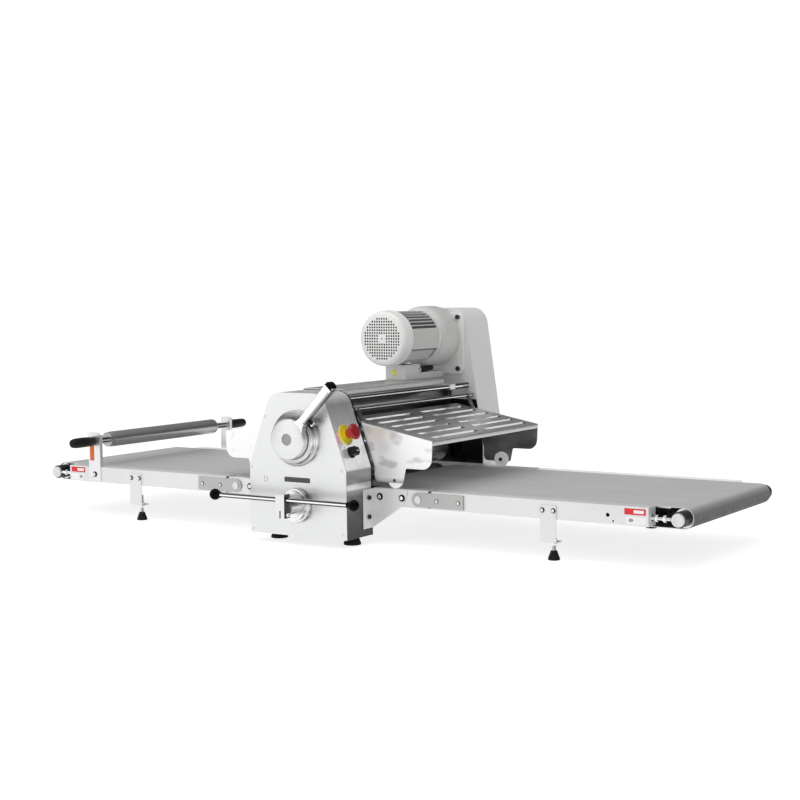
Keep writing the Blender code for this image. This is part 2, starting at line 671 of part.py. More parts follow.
def build_leg(side, flip, word, parent):
    """Angle bracket on the rail, threaded stud with two nuts, and a rubber foot."""
    outer = MID_Y + flip * HALF_OPEN
    middle = side * LEG_X
    half, thick = 0.0218, 0.003
    face = outer + flip * GAP
    low, high = 0.043, 0.135
    adds = [block(middle - half, middle + half, *sorted((face, face + flip * thick)), low, high)]
    shelf = sorted((face + flip * thick, face - flip * 0.030))
    adds.append(block(middle - half, middle + half, *shelf, low, low + thick))
    x, y = middle + FOOT_SHIFT, outer - flip * 0.0135
    adds.append(rod_z(x, y, 0.005, 0.012, 0.072, 12))
    for z in (low - 0.0055, low + thick - 0.0005):
        adds.append(rod_z(x, y, 0.0085, z, z + 0.006, 6))
    foot = [(0, 0.0147), (0.005, 0.0147), (0.020, 0.0085), (0.0225, 0.0080)]
    adds.append(turned(foot, (x, y, 0), (0, 0, 1), 20))
    piece(f"{word}_leg", "steel", adds, parent=parent)


def build_table(side, word):
    """One folding table, carried by the pivot it turns about."""
    parent = pivot_empty(f"{word}_table_pivot", (side * PIVOT_X, MID_Y, PIVOT_Z))
    piece(
        f"{word}_table_bed",
        "steel",
        [bed(side, 0.338, 0.965)] + cross_bars(side, (0.380, 0.620, 0.890)),
        parent=parent,
    )
    piece(f"{word}_belt", "belt", [belt(side, 0.338, END_X)], parent=parent)
    build_end_roller(side, word, parent)
    for flip, place in ((-1, "front"), (1, "rear")):
        build_table_rail(side, flip, f"{word}_{place}", parent)
        build_leg(side, flip, f"{word}_{place}", parent)
        build_gusset(side, flip, f"{word}_{place}")
    build_fixed_bed(side, word)
    return parent


def build_pin_rack(parent):
    """Two slotted uprights on the left table, and the rolling pin that rests in them."""
    half, low, high, thick = 0.0230, 0.1050, 0.2490, 0.0024
    slot_r, slot_z = 0.010, PIN_Z + 0.0007
    for flip, word in ((-1, "front"), (1, "rear")):
        face = MID_Y + flip * (HALF_OPEN + GAP)
        y0, y1 = sorted((face, face + flip * thick))
        right = RACK_X + half
        left = RACK_X - half
        corners = [(left, low, 0), (right, low, 0), (right, high, 0.006), (left, high, 0.006)]
        adds = [slab(rounded(corners, 3), y0, y1)]
        lip_y = sorted((face + flip * thick, face - flip * 0.009))
        adds.append(block(right - thick, right, *lip_y, 0.1480, high - 0.008))
        cuts = [rod_y(PIN_X, slot_z, slot_r, y0 - 0.01, y1 + 0.01, 20)]
        cuts.append(block(PIN_X - slot_r, PIN_X + slot_r, y0 - 0.01, y1 + 0.01, slot_z, high + 0.01))
        piece(f"{word}_upright", "stainless", adds, cuts, parent=parent)
    middle = MID_Y + 0.008
    reach, grip = 0.412, 0.1025
    shaft = [rod_y(PIN_X, PIN_Z, 0.009, MID_Y - reach + 0.01, MID_Y + reach - 0.01, 24)]
    profile = [(0, 0.012), (0.006, 0.0172), (0.050, 0.0180), (0.094, 0.0165), (grip, 0.011)]
    for flip in (-1, 1):
        shaft.append(turned(profile, (PIN_X, MID_Y + flip * (reach - grip), PIN_Z), (0, flip, 0), 24))
    piece("pin_shaft", "rubber", shaft, pivot=(PIN_X, MID_Y, PIN_Z), parent=parent)
    body = [(0, 0.015), (0.010, 0.023), (0.490, 0.023), (0.500, 0.015)]
    roller = turned(body, (PIN_X, middle - 0.25, PIN_Z), (0, 1, 0), 32)
    bore = rod_y(PIN_X, PIN_Z, 0.0096, middle - 0.3, middle + 0.3, 24)
    piece("pin_roller", "polished", [roller], [bore], pivot=(PIN_X, MID_Y, PIN_Z), parent=parent)


# ---- Guards ----

def housing_edge(z):
    """Where a skirt's inner edge runs, just clear of the front housing's sloping side."""
    return FRONT_HALF - FRONT_SLOPE * (z - KNEE_Z) + 0.0045


def guard_z(x):
    """Height of the sloping guard sheet's top face."""
    return GUARD_OUT_Z + GUARD_SLOPE * (GUARD_OUT_X - x)


def build_guard(side, word):
    """The slotted sheet with a skirt at each end, hung from its rod, and its two wheels."""
    hinge = (side * GUARD_ROD_X, MID_Y, GUARD_ROD_Z)
    parent = pivot_empty(f"{word}_guard_pivot", hinge)
    thick = SHEET
    inner_z = guard_z(GUARD_IN_X)
    sheet = [(GUARD_IN_X, inner_z), (GUARD_OUT_X, GUARD_OUT_Z), (GUARD_OUT_X, GUARD_OUT_Z - 0.012)]
    sheet += [(GUARD_OUT_X - thick, GUARD_OUT_Z - 0.012), (GUARD_OUT_X - thick, GUARD_OUT_Z - thick)]
    sheet.append((GUARD_IN_X, inner_z - thick))
    adds = [slab(mirrored(sheet, side), GUARD_FRONT_Y, GUARD_REAR_Y)]
    ear = [(GUARD_ROD_X + 0.008, GUARD_ROD_Z, 0), (GUARD_ROD_X, GUARD_ROD_Z + 0.008, 0)]
    ear += [(GUARD_ROD_X - 0.008, GUARD_ROD_Z, 0), (housing_edge(0.318), 0.318, 0)]
    knee_x = housing_edge(KNEE_Z)
    skirt = [(knee_x, KNEE_Z, 0), (knee_x, 0.1620, 0.014), (0.2475, 0.1620, 0.008)]
    skirt += [(0.2560, 0.2010, 0.005), (0.3330, 0.2010, 0.028), (GUARD_OUT_X, GUARD_OUT_Z, 0)]
    skirt += [(GUARD_ROD_X + 0.026, guard_z(GUARD_ROD_X + 0.026), 0)] + ear
    outline = mirrored(rounded(skirt, 4), side)
    pins = []
    for y, inward in ((GUARD_FRONT_Y, 1), (GUARD_REAR_Y, -1)):
        adds.append(slab(outline, *sorted((y, y + inward * thick))))
        pin_y = sorted((y + inward * 0.001, y + inward * 0.014))
        pins.append(rod_y(side * WHEEL_X, WHEEL_Z, 0.003, *pin_y, 12))
    adds += pins
    cuts = [rod_y(*(side * GUARD_ROD_X, GUARD_ROD_Z), GUARD_ROD_R + 0.0008, FRONT_IN, REAR_IN, 20)]
    rows, pitch, first = 6, 0.041, 0.103
    for row in range(rows):
        for flip in (-1, 1):
            x = first + row * pitch
            y0, y1 = sorted((MID_Y + flip * 0.0205, MID_Y + flip * 0.2535))
            near, far = span(side, x - 0.0045, x + 0.0045)
            cuts.append(block(near, far, y0, y1, guard_z(x) - 0.012, guard_z(x) + 0.012))
    piece(f"{word}_guard", "stainless", adds, cuts, pivot=hinge, parent=parent)
    for place, y, inward in (("front", GUARD_FRONT_Y, 1), ("rear", GUARD_REAR_Y, -1)):
        y0, y1 = sorted((y + inward * (thick + GAP), y + inward * 0.0120))
        wheel = rod_y(side * WHEEL_X, WHEEL_Z, WHEEL_R, y0, y1, 32)
        bore = rod_y(side * WHEEL_X, WHEEL_Z, 0.0036, y0 - 0.01, y1 + 0.01, 16)
        place_at = (side * WHEEL_X, (y0 + y1) / 2, WHEEL_Z)
        piece(f"{word}_{place}_wheel", "white_plastic", [wheel], [bore], pivot=place_at, parent=parent)


def main():
    """Build every piece."""
    for obj in list(bpy.data.objects):
        bpy.data.objects.remove(obj, do_unlink=True)
    build_front_housing()
    build_rear_housing()
    build_top_cover()
    build_guard_rods()
    build_foot_bars()
    build_rolls()
    build_carriage()
    build_gap_lever()
    build_index_ring()
    build_control_bar()
    build_panel_controls()
    build_motor()
    build_drive_chain()
    build_table(1, "right")
    left_pivot = build_table(-1, "left")
    build_pin_rack(left_pivot)
    for side, word in ((1, "right"), (-1, "left")):
        build_guard(side, word)


main()
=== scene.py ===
"""Looks of the bench-top dough sheeter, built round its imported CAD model. Metres, +Z up, -Y is the front."""

import math

import bmesh
import bpy
from mathutils import Matrix, Vector

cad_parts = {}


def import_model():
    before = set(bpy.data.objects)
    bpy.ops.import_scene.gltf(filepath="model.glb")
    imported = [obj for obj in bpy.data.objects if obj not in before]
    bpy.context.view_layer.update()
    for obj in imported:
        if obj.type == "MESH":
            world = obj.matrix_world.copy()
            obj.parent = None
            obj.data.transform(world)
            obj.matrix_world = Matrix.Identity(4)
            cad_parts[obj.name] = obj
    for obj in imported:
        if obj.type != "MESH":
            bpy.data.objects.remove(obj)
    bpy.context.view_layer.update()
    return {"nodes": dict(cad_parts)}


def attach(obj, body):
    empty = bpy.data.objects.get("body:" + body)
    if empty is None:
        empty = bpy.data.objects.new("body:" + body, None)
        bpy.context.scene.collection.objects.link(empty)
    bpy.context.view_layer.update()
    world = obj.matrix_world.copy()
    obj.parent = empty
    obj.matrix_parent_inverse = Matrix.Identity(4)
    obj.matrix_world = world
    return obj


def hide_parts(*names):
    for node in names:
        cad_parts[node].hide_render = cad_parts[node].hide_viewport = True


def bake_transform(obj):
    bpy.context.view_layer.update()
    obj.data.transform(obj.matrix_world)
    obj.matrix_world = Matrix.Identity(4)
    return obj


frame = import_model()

# The CAD model's driving dimensions
MID_Y = 0.0385
HALF_OPEN = 0.303
FRONT_IN = MID_Y - HALF_OPEN
REAR_IN = MID_Y + HALF_OPEN
HALF_DEPTH = 0.4635
GAP = 0.0003
FRONT_Y = -0.3832
HOUSING_BOTTOM = 0.0228
KNEE_Z = 0.2023
FRONT_HALF = 0.155
FRONT_SLOPE = 0.366
FRONT_TOP = 0.396
REAR_HALF = 0.1385
REAR_SLOPE = 0.147
REAR_TOP = 0.6015
ROLL_R = 0.044
LOWER_ROLL_Z = 0.102
UPPER_ROLL_Z = 0.198
BELT_Z = 0.146
BELT_T = 0.0016
BELT_HALF = 0.256
LOOP_R = 0.0256
LOOP_Z = BELT_Z - LOOP_R
DRIVE_X = 0.075
END_X = 1.0
LEVER_Z = 0.2785
LEVER_ANGLE = math.radians(46.2)
LEVER_LENGTH = 0.2
HUB_R = 0.053
HUB_FRONT_Y = -0.4265
RING_FRONT_Y = -0.405
RING_R = 0.0725
CONTROL_Z = 0.104
BAR_Z = 0.126
BAR_HALF = 0.222
KNOB_R = 0.016
BAR_Y = KNOB_R - HALF_DEPTH
MOTOR_X = -0.0175
MOTOR_Z = 0.521
COWL_R = 0.0795
COWL_Y = 0.0455
BARREL_Y = 0.0875
BELL_Y = 0.2385
BELL_R = 0.088
PIVOT_X = 0.297
PIVOT_Z = 0.124
FIXED_END_X = 0.3255
RAIL_START_X = 0.3345
RAIL_END_X = 0.9316
RAIL_TOP = 0.1467
RAIL_BOTTOM = 0.101
RAIL_FLANGE = 0.043
SHEET = 0.002
LEG_X = 0.669
FOOT_SHIFT = 0.008
RACK_X = -0.829
PIN_X = -0.838
PIN_Z = 0.2215
GUARD_ROD_X = 0.104
GUARD_ROD_Z = 0.349
GUARD_IN_X = 0.068
GUARD_OUT_X = 0.3366
GUARD_OUT_Z = 0.2744
GUARD_SLOPE = 0.1876
GUARD_FRONT_Y = -0.2605
GUARD_REAR_Y = 0.31
WHEEL_X = 0.221
WHEEL_R = 0.0212
WHEEL_Z = RAIL_TOP + GAP + WHEEL_R
PANEL_Y = -0.338
STOP_Z = 0.289
SELECTOR_Z = 0.244
LEAD = [(0.004, 0.192 + 0.0135 * k, 0.4275 - 0.0019 * math.sin(math.pi * k / 5.2)) for k in range(7)]

# How far a cutter runs past the wall it cuts
CLEAR = 0.01
TO_FRONT, TO_REAR, UP = (0, -1, 0), (0, 1, 0), (0, 0, 1)
SIDES = ((1, "right"), (-1, "left"))
PLACES = ((-1, "front"), (1, "rear"))


# ---- Materials ----

def plug(tree, node, inputs):
    """Set a node's inputs by name, each to a value or to another node's output."""
    for name, value in inputs.items():
        if isinstance(value, bpy.types.NodeSocket):
            tree.links.new(value, node.inputs[name])
        else:
            node.inputs[name].default_value = value


def new_node(tree, kind, inputs, **settings):
    node = tree.nodes.new("ShaderNode" + kind)
    for name, value in settings.items():
        setattr(node, name, value)
    plug(tree, node, inputs)
    return node


class Nodes:
    """A Principled material whose inputs are fed by small procedural networks in object coordinates."""

    def __init__(self, name, colour, metallic, roughness):
        self.colour = colour if isinstance(colour, tuple) else (colour,) * 3
        self.material = bpy.data.materials.new(name)
        self.material.use_nodes = True
        self.material.diffuse_color = (*self.colour, 1.0)
        self.tree = self.material.node_tree
        self.shader = self.tree.nodes["Principled BSDF"]
        self.set({"Base Color": (*self.colour, 1.0), "Metallic": metallic, "Roughness": roughness})
        self.coords = self.tree.nodes.new("ShaderNodeTexCoord").outputs
        self.height = None

    def set(self, inputs):
        plug(self.tree, self.shader, inputs)

    def noise(self, scale, detail=3.0, rough=0.55):
        """A noise value; scale is one number, or three to stretch it along an axis."""
        scales = scale if isinstance(scale, tuple) else (scale,) * 3
        mapping = new_node(self.tree, "Mapping", {"Vector": self.coords["Object"], "Scale": scales})
        inputs = {"Vector": mapping.outputs["Vector"], "Scale": 1.0, "Detail": detail, "Roughness": rough}
        return new_node(self.tree, "TexNoise", inputs).outputs["Fac"]

    def wave(self, direction, pitch):
        """Straight ridges across an axis, this far apart."""
        inputs = {"Vector": self.coords["Object"], "Scale": math.pi / 10.0 / pitch}
        return new_node(self.tree, "TexWave", inputs, bands_direction=direction).outputs["Fac"]

    def spread(self, value, low, high, from_low=0.3, from_high=0.7):
        """A value moved from one range to another."""
        inputs = {"Value": value, "From Min": from_low, "From Max": from_high, "To Min": low, "To Max": high}
        return new_node(self.tree, "MapRange", inputs).outputs["Result"]

    def height_z(self, low, high, source="Object"):
        """0 to 1 from one height of the object to another."""
        split = new_node(self.tree, "SeparateXYZ", {"Vector": self.coords[source]})
        return self.spread(split.outputs["Z"], 0.0, 1.0, low, high)

    def tilt(self):
        """0 to 1 as the surface turns from facing down to facing up."""
        return self.height_z(-1.0, 1.0, "Normal")

    def ramp(self, value, stops):
        """The colour that (position, colour) stops give a value."""
        node = new_node(self.tree, "ValToRGB", {"Fac": value})
        first, last = node.color_ramp.elements
        first.position, last.position = stops[0][0], stops[-1][0]
        first.color, last.color = (*stops[0][1], 1.0), (*stops[-1][1], 1.0)
        for position, colour in stops[1:-1]:
            node.color_ramp.elements.new(position).color = (*colour, 1.0)
        return node.outputs["Color"]

    def base(self):
        """What feeds the base colour: the last node put there, or else the plain colour."""
        socket = self.shader.inputs["Base Color"]
        return socket.links[0].from_socket if socket.is_linked else (*self.colour, 1.0)

    def tint(self, value, dark, light):
        """Base colour from dark to light times the material's own colour."""
        stops = [(place, [min(1.0, c * shade) for c in self.colour]) for place,
                shade in ((0.3, dark), (0.7, light))]
        self.set({"Base Color": self.ramp(value, stops)})
        return self

    def shades(self, value, stops):
        """Multiply the base colour by a ramp of (position, shade) stops: painted light and shade."""
        greys = self.ramp(value, [(place, (shade,) * 3) for place, shade in stops])
        inputs = {"Factor": 1.0, "A": self.base(), "B": greys}
        mix = new_node(self.tree, "Mix", inputs, data_type="RGBA", blend_type="MULTIPLY")
        self.set({"Base Color": mix.outputs["Result"]})

    def glow(self, strength):
        """Painted light: a glow of the surface's own colour, standing in for the studio cards that a polished
        part mirrors.
        """
        self.set({"Emission Color": self.base(), "Emission Strength": strength})

    def rough(self, value, low, high):
        self.set({"Roughness": self.spread(value, low, high)})

    def bump(self, value, distance, strength=1.0):
        """Relief from a value, on top of any relief before it."""
        inputs = {"Strength": strength, "Distance": distance, "Height": value}
        if self.height is not None:
            inputs["Normal"] = self.height
        self.height = new_node(self.tree, "Bump", inputs).outputs["Normal"]
        self.set({"Normal": self.height})


def brushed(name, colour, roughness, grain_axis, depth=0.00002):
    """Brushed or polished steel, with the brush lines along one axis."""
    long, short = 14.0, 1600.0
    scale = tuple(long if axis == grain_axis else short for axis in "XYZ")
    made = Nodes(name, colour, 1.0, roughness)
    grain = made.noise(scale, 2.0)
    made.rough(grain, roughness * 0.85, roughness * 1.2)
    made.tint(made.noise(tuple(s / 12 for s in scale), 2.0), 0.985, 1.012)
    made.bump(grain, depth, 0.6)
    return made


def rod_chrome(name):
    """Bright plated rod, with painted reflection: the dark and light bands a studio would leave along it, set
    by facing.
    """
    made = Nodes(name, (0.92, 0.92, 0.93), 1.0, 0.12)
    made.bump(made.noise((14.0, 14.0, 1600.0), 2.0), 0.000003, 0.5)
    # Painted reflection: dark and light bands by how far the surface faces up.
    made.shades(made.tilt(), [(0.0, 0.05), (0.3, 0.06), (0.38, 0.9), (0.58, 1.0), (0.66, 0.08), (0.9, 0.08),
            (0.97, 0.8)])
    return made


def drum_steel(name):
    """Turned and polished steel with painted reflection: light and dark bands round its rim, set by facing."""
    made = Nodes(name, (0.8, 0.8, 0.805), 0.9, 0.24)
    # Painted reflection: bands by how far the surface faces up.
    stops = [(0.0, 0.45), (0.06, 0.95), (0.13, 0.28), (0.2, 0.22), (0.26, 0.85), (0.34, 0.45), (0.44, 0.96)]
    stops += [(0.56, 1.0), (0.66, 0.5), (0.72, 0.16), (0.82, 0.12), (0.9, 0.8), (1.0, 0.35)]
    made.shades(made.tilt(), stops)
    made.bump(made.noise((6.0, 300.0, 6.0), 2.0), 0.00001, 0.5)
    return made


def ring_face(name):
    """The index ring's polished face, with painted reflection: dark above, as if mirroring the room, and light
    below.
    """
    made = Nodes(name, (0.82, 0.82, 0.83), 0.9, 0.22)
    stops = [(0.0, 0.45), (0.2, 0.85), (0.45, 1.0), (0.6, 0.8), (0.74, 0.3), (0.9, 0.16), (1.0, 0.5)]
    # Painted reflection by height about the lever's axis.
    made.shades(made.height_z(LEVER_Z - 0.07, LEVER_Z + 0.07), stops)
    made.bump(made.noise((40.0, 4.0, 40.0), 2.0), 0.00005, 0.5)
    return made


def slot_edge(name):
    """The folded rim of a guard's slot, with painted highlights in patches along its length and a painted
    glow.
    """
    made = Nodes(name, 0.93, 0.3, 0.35)
    made.shades(made.noise((24.0, 9.0, 24.0), 2.0), [(0.3, 0.28), (0.42, 0.62), (0.5, 0.95), (1.0, 1.0)])
    made.glow(0.45)
    return made


def casing_steel(name):
    """The polished wrap, with painted reflection and shade in bands by height, for the tables and the studio
    it mirrors, and a painted glow.
    """
    made = Nodes(name, (0.86, 0.86, 0.865), 0.85, 0.22)
    made.tint(made.noise((90.0, 160.0, 1.6), 3.0), 0.9, 1.05)
    # Painted light and shade by height: dark low down, a thin light band, then light from the knee up.
    stops = [(0.0, 0.05), (0.16, 0.09), (0.29, 0.17), (0.335, 0.42), (0.345, 0.95), (0.37, 0.92),
            (0.385, 0.34)]
    stops += [(0.47, 0.3), (0.484, 0.95), (0.64, 1.0), (0.72, 0.95), (0.8, 0.66), (0.92, 0.46), (1.0, 0.85)]
    made.shades(made.height_z(HOUSING_BOTTOM, FRONT_TOP), stops)
    made.glow(0.2)
    made.bump(made.noise((1600.0, 1600.0, 10.0), 2.0), 0.00001, 0.5)
    return made


def skirt_steel(name):
    """A guard's polished side: nearly white, with soft grey blotches of painted reflection, as a dented sheet
    would mirror, and painted shade at its bottom edge and over its ear.
    """
    made = Nodes(name, (0.9, 0.9, 0.905), 0.55, 0.36)
    # Painted reflection: soft grey blotches.
    made.shades(made.noise((15.0, 15.0, 26.0), 2.0, 0.4),
            [(0.3, 0.62), (0.38, 0.8), (0.44, 1.0), (1.0, 1.0)])
    # Painted shade: darker along the bottom edge, and dark from the guard sheet up over the ear.
    stops = [(0.0, 0.3), (0.025, 0.55), (0.07, 0.95), (0.635, 1.0), (0.665, 0.12), (1.0, 0.12)]
    made.shades(made.height_z(0.16, 0.4), stops)
    made.bump(made.noise(9.0, 1.0), 0.0006)
    return made


def inner_skirt(name):
    """The side of a skirt that faces the rolls, painted dark as their shade, with blotches."""
    made = Nodes(name, (0.22, 0.22, 0.225), 0.2, 0.45)
    made.shades(made.noise((12.0, 12.0, 22.0), 2.0), [(0.3, 0.35), (0.7, 1.3)])
    return made


def lit(name, colour, metallic, strength):
    """A pale part turned from the lamps, with a painted glow standing in for the light of the white room."""
    made = Nodes(name, colour, metallic, 0.4)
    made.tint(made.noise(35.0), 0.95, 1.02)
    made.glow(strength)
    return made


def painted(name, colour, roughness, metallic=0.0, speckle=0.00002):
    """Sprayed enamel with a faint orange peel and slight staining."""
    made = Nodes(name, colour, metallic, roughness)
    made.tint(made.noise(11.0, 4.0), 0.975, 1.02)
    made.rough(made.noise(60.0), roughness * 0.9, roughness * 1.12)
    made.bump(made.noise(700.0, 2.0), speckle)
    return made


def moulded(name, colour, roughness, grain=900.0, depth=0.00003, coat=0.0, specular=0.5):
    """Moulded plastic or rubber with a fine grained skin."""
    made = Nodes(name, colour, 0.0, roughness)
    made.tint(made.noise(35.0), 0.93, 1.05)
    made.rough(made.noise(120.0), roughness * 0.88, roughness * 1.12)
    made.bump(made.noise(grain, 2.0), depth)
    made.set({"Specular IOR Level": specular})
    if coat:
        made.set({"Coat Weight": coat, "Coat Roughness": 0.06})
    return made


def black(name, colour, roughness, grain=900.0, depth=0.00003, specular=0.14):
    """Moulded black that mirrors little of the white room."""
    return moulded(name, colour, roughness, grain, depth, 0.0, specular)


def printed(name, colour, roughness):
    """Smooth sticker film."""
    return moulded(name, colour, roughness, 300.0, 0.00001)


def woven_belt(name):
    """The belt's coated face: a fine weave, floury blotches and dull rubbing marks along X."""
    made = Nodes(name, 0.5, 0.0, 0.62)
    made.tint(made.noise((5.0, 14.0, 8.0), 5.0), 0.955, 1.035)
    made.rough(made.noise((8.0, 60.0, 60.0)), 0.52, 0.7)
    for direction in "XY":
        made.bump(made.wave(direction, 0.0012), 0.00003, 0.5)
    made.bump(made.noise(420.0), 0.00003)
    # Painted shade: the belt darkens towards its underside and round the bottom of its ends.
    made.shades(made.height_z(0.094, 0.1462),
            [(0.0, 0.1), (0.35, 0.13), (0.62, 0.3), (0.86, 0.66), (0.96, 1.0)])
    return made


# Each material's maker and what it is told; one number for a colour is a grey
MATERIALS = {
    "front_steel": (brushed, (0.71, 0.715, 0.72), 0.36, "X"),
    "satin_steel": (brushed, (0.72, 0.72, 0.73), 0.3, "Y"),
    "rack_steel": (brushed, (0.76, 0.76, 0.77), 0.32, "Z"),
    "roll_steel": (brushed, (0.42, 0.42, 0.43), 0.3, "Y", 0.000006),
    "zinc": (brushed, (0.7, 0.7, 0.71), 0.24, "Z", 0.00001),
    "dark_steel": (brushed, (0.07, 0.07, 0.073), 0.3, "Y"),
    "bright_bolt": (brushed, (0.8, 0.8, 0.82), 0.15, "Z", 0.000006),
    # Painted shade: near-black steel for inner parts that sit in shade between the rolls.
    "inner_dark": (brushed, (0.045, 0.045, 0.047), 0.25, "Z"),
    "cap_grey": (brushed, (0.3, 0.3, 0.31), 0.34, "X"),
    "hinge_steel": (brushed, (0.44, 0.44, 0.43), 0.4, "X"),
    "guard_steel": (brushed, 0.6, 0.28, "Y"),
    "pin_steel": (brushed, (0.4, 0.4, 0.41), 0.28, "Y"),
    "casing_steel": (casing_steel,),
    "skirt_steel": (skirt_steel,),
    "inner_skirt": (inner_skirt,),
    "drum_steel": (drum_steel,),
    "ring_face": (ring_face,),
    "slot_edge": (slot_edge,),
    "rod_chrome": (rod_chrome,),
    # Painted light: the rear rails' paler copy of the rail paint, with a glow.
    "rail_bright": (lit, (0.88, 0.88, 0.875), 0.1, 0.22),
    # Painted light: white with a glow for the wheels.
    "wheel_white": (lit, (0.9, 0.9, 0.89), 0.0, 0.16),
    "rail_satin": (painted, (0.72, 0.725, 0.72), 0.36, 0.25, 0.000012),
    "cover_paint": (painted, (0.73, 0.73, 0.722), 0.42),
    "cowl_paint": (painted, (0.78, 0.78, 0.77), 0.4),
    "motor_paint": (painted, (0.545, 0.545, 0.535), 0.36),
    # Painted shade: near black for the barrel's core between fins and panels.
    "motor_dark": (painted, 0.07, 0.5),
    "bell_paint": (painted, (0.57, 0.57, 0.56), 0.32),
    "box_paint": (painted, (0.7, 0.7, 0.69), 0.42),
    "cap_white": (painted, 0.7, 0.3, 0.2),
    "belt_weave": (woven_belt,),
    "belt_edge": (moulded, (0.78, 0.78, 0.77), 0.5),
    "rubber": (black, 0.012, 0.62),
    "black_plastic": (black, (0.01, 0.01, 0.011), 0.34),
    "black_gloss": (black, 0.002, 0.1, 500.0, 0.000006, 0.04),
    "grip": (black, 0.01, 0.45, 420.0, 0.00006),
    # Painted shade: flat black for openings and hollows.
    "cavity": (black, 0.01, 0.75),
    "nylon": (moulded, (0.8, 0.8, 0.78), 0.36),
    "yellow": (moulded, (0.8, 0.7, 0.015), 0.42),
    "red": (moulded, (0.3, 0.002, 0.01), 0.22, 300.0, 0.00001, 0.15),
    "salmon": (moulded, (0.52, 0.03, 0.022), 0.3, 300.0, 0.00001, 0.15),
    "orange": (moulded, (0.66, 0.125, 0.006), 0.4),
    "label_red": (printed, (0.66, 0.012, 0.02), 0.38),
    "label_white": (printed, (0.85, 0.85, 0.84), 0.4),
    "label_dark": (printed, (0.055, 0.055, 0.06), 0.34),
    "label_grey": (printed, 0.3, 0.4),
    "sticker_yellow": (printed, (0.86, 0.8, 0.01), 0.4),
}
MADE = {}


def material(name):
    """The named material, made the first time it is asked for."""
    if name not in MADE:
        maker, *told = MATERIALS[name]
        MADE[name] = maker(name, *told).material
    return MADE[name]


# ---- Shapes ----

def block(x0, x1, y0, y1, z0, z1):
    bm = bmesh.new()
    bmesh.ops.create_cube(bm, size=1.0)
    size = Matrix.Diagonal((x1 - x0, y1 - y0, z1 - z0, 1.0))
    middle = Matrix.Translation(((x0 + x1) / 2, (y0 + y1) / 2, (z0 + z1) / 2))
    bm.transform(middle @ size)
    return bm


def skin(rings, capped=True):
    """Walls between rings that match point to point, capped or closed from last ring to first."""
    bm = bmesh.new()
    rings = [[bm.verts.new(point) for point in ring] for ring in rings]
    if capped:
        bm.faces.new(rings[0])
        bm.faces.new(rings[-1])
    for low, high in zip(rings, rings[1:] if capped else rings[1:] + rings[:1]):
        for k in range(len(low)):
            after = (k + 1) % len(low)
            bm.faces.new((low[k], low[after], high[after], high[k]))
    bmesh.ops.recalc_face_normals(bm, faces=bm.faces)
    return bm


def prism(outline, start, end):
    """A closed solid between two copies of a loop of points, moved by start and by end."""
    return skin([[Vector(point) + Vector(shift) for point in outline] for shift in (start, end)])


def slab(outline, y0, y1):
    """An XZ outline extruded along Y."""
    return prism([(x, 0, z) for x, z in outline], (0, y0, 0), (0, y1, 0))


def sweep_x(outline, x0, x1):
    """A YZ outline extruded along X."""
    return prism([(0, y, z) for y, z in outline], (x0, 0, 0), (x1, 0, 0))


def tube_slab(outer, inner, y0, y1):
    """The closed wall between two matching XZ outlines, open at both ends."""
    loops = ((outer, y0), (outer, y1), (inner, y1), (inner, y0))
    return skin([[(x, y, z) for x, z in outline] for outline, y in loops], capped=False)


def pointing(direction):
    """The turn from up to a direction."""
    return Vector(UP).rotation_difference(Vector(direction)).to_matrix().to_4x4()


def turned(profile, base, direction, sides=48):
    """A solid of revolution from (distance, radius) pairs. A third number makes a ring hexagonal."""
    rings = []
    for along, radius, *hexagon in profile:
        ring = []
        for turn in [2 * math.pi * k / sides for k in range(sides)]:
            out = radius / math.cos((turn % (math.pi / 3)) - math.pi / 6) if hexagon else radius
            ring.append((out * math.cos(turn), out * math.sin(turn), along))
        rings.append(ring)
    bm = skin(rings)
    bm.transform(Matrix.Translation(base) @ pointing(direction))
    return bm


def rod_y(x, z, radius, y0, y1, sides=48):
    return turned([(0, radius), (y1 - y0, radius)], (x, y0, z), TO_REAR, sides)


def rod_x(y, z, radius, x0, x1, sides=32):
    return turned([(0, radius), (x1 - x0, radius)], (x0, y, z), (1, 0, 0), sides)


def tube(points, radius, sides):
    """A closed round tube along points that lie in one YZ plane."""
    rings = []
    across = Vector((1, 0, 0))
    for k, point in enumerate(points):
        along = (Vector(points[min(k + 1, len(points) - 1)]) - Vector(points[max(k - 1, 0)])).normalized()
        spokes = [across * math.cos(turn) + along.cross(across) * math.sin(turn)
                  for turn in [2 * math.pi * step / sides for step in range(sides)]]
        rings.append([Vector(point) + spoke * radius for spoke in spokes])
    return skin(rings)


def ball(x, y, z, radius, segments):
    bm = bmesh.new()
    bmesh.ops.create_uvsphere(bm, u_segments=segments, v_segments=segments // 2, radius=radius)
    bm.transform(Matrix.Translation((x, y, z)))
    return bm


def rounded(corners, steps=8):
    """The outline through (x, z, radius) corners, each with an arc of its radius."""
    outline = []
    for k, (x, z, radius) in enumerate(corners):
        corner = Vector((x, z))
        if radius <= 0:
            outline.append((x, z))
            continue
        before = (Vector(corners[k - 1][:2]) - corner).normalized()
        after = (Vector(corners[(k + 1) % len(corners)][:2]) - corner).normalized()
        half = before.angle(after) / 2
        centre = corner + (before + after).normalized() * (radius / math.sin(half))
        start = corner + before * (radius / math.tan(half)) - centre
        end = corner + after * (radius / math.tan(half)) - centre
        sweep = start.angle_signed(end)
        for step in range(steps + 1):
            spoke = Matrix.Rotation(-sweep * step / steps, 2) @ start
            outline.append((centre.x + spoke.x, centre.y + spoke.y))
    return outline


def box_outline(x0, x1, z0, z1, radius, steps):
    """A rectangle with rounded corners."""
    return rounded([(x0, z0, radius), (x1, z0, radius), (x1, z1, radius), (x0, z1, radius)], steps)


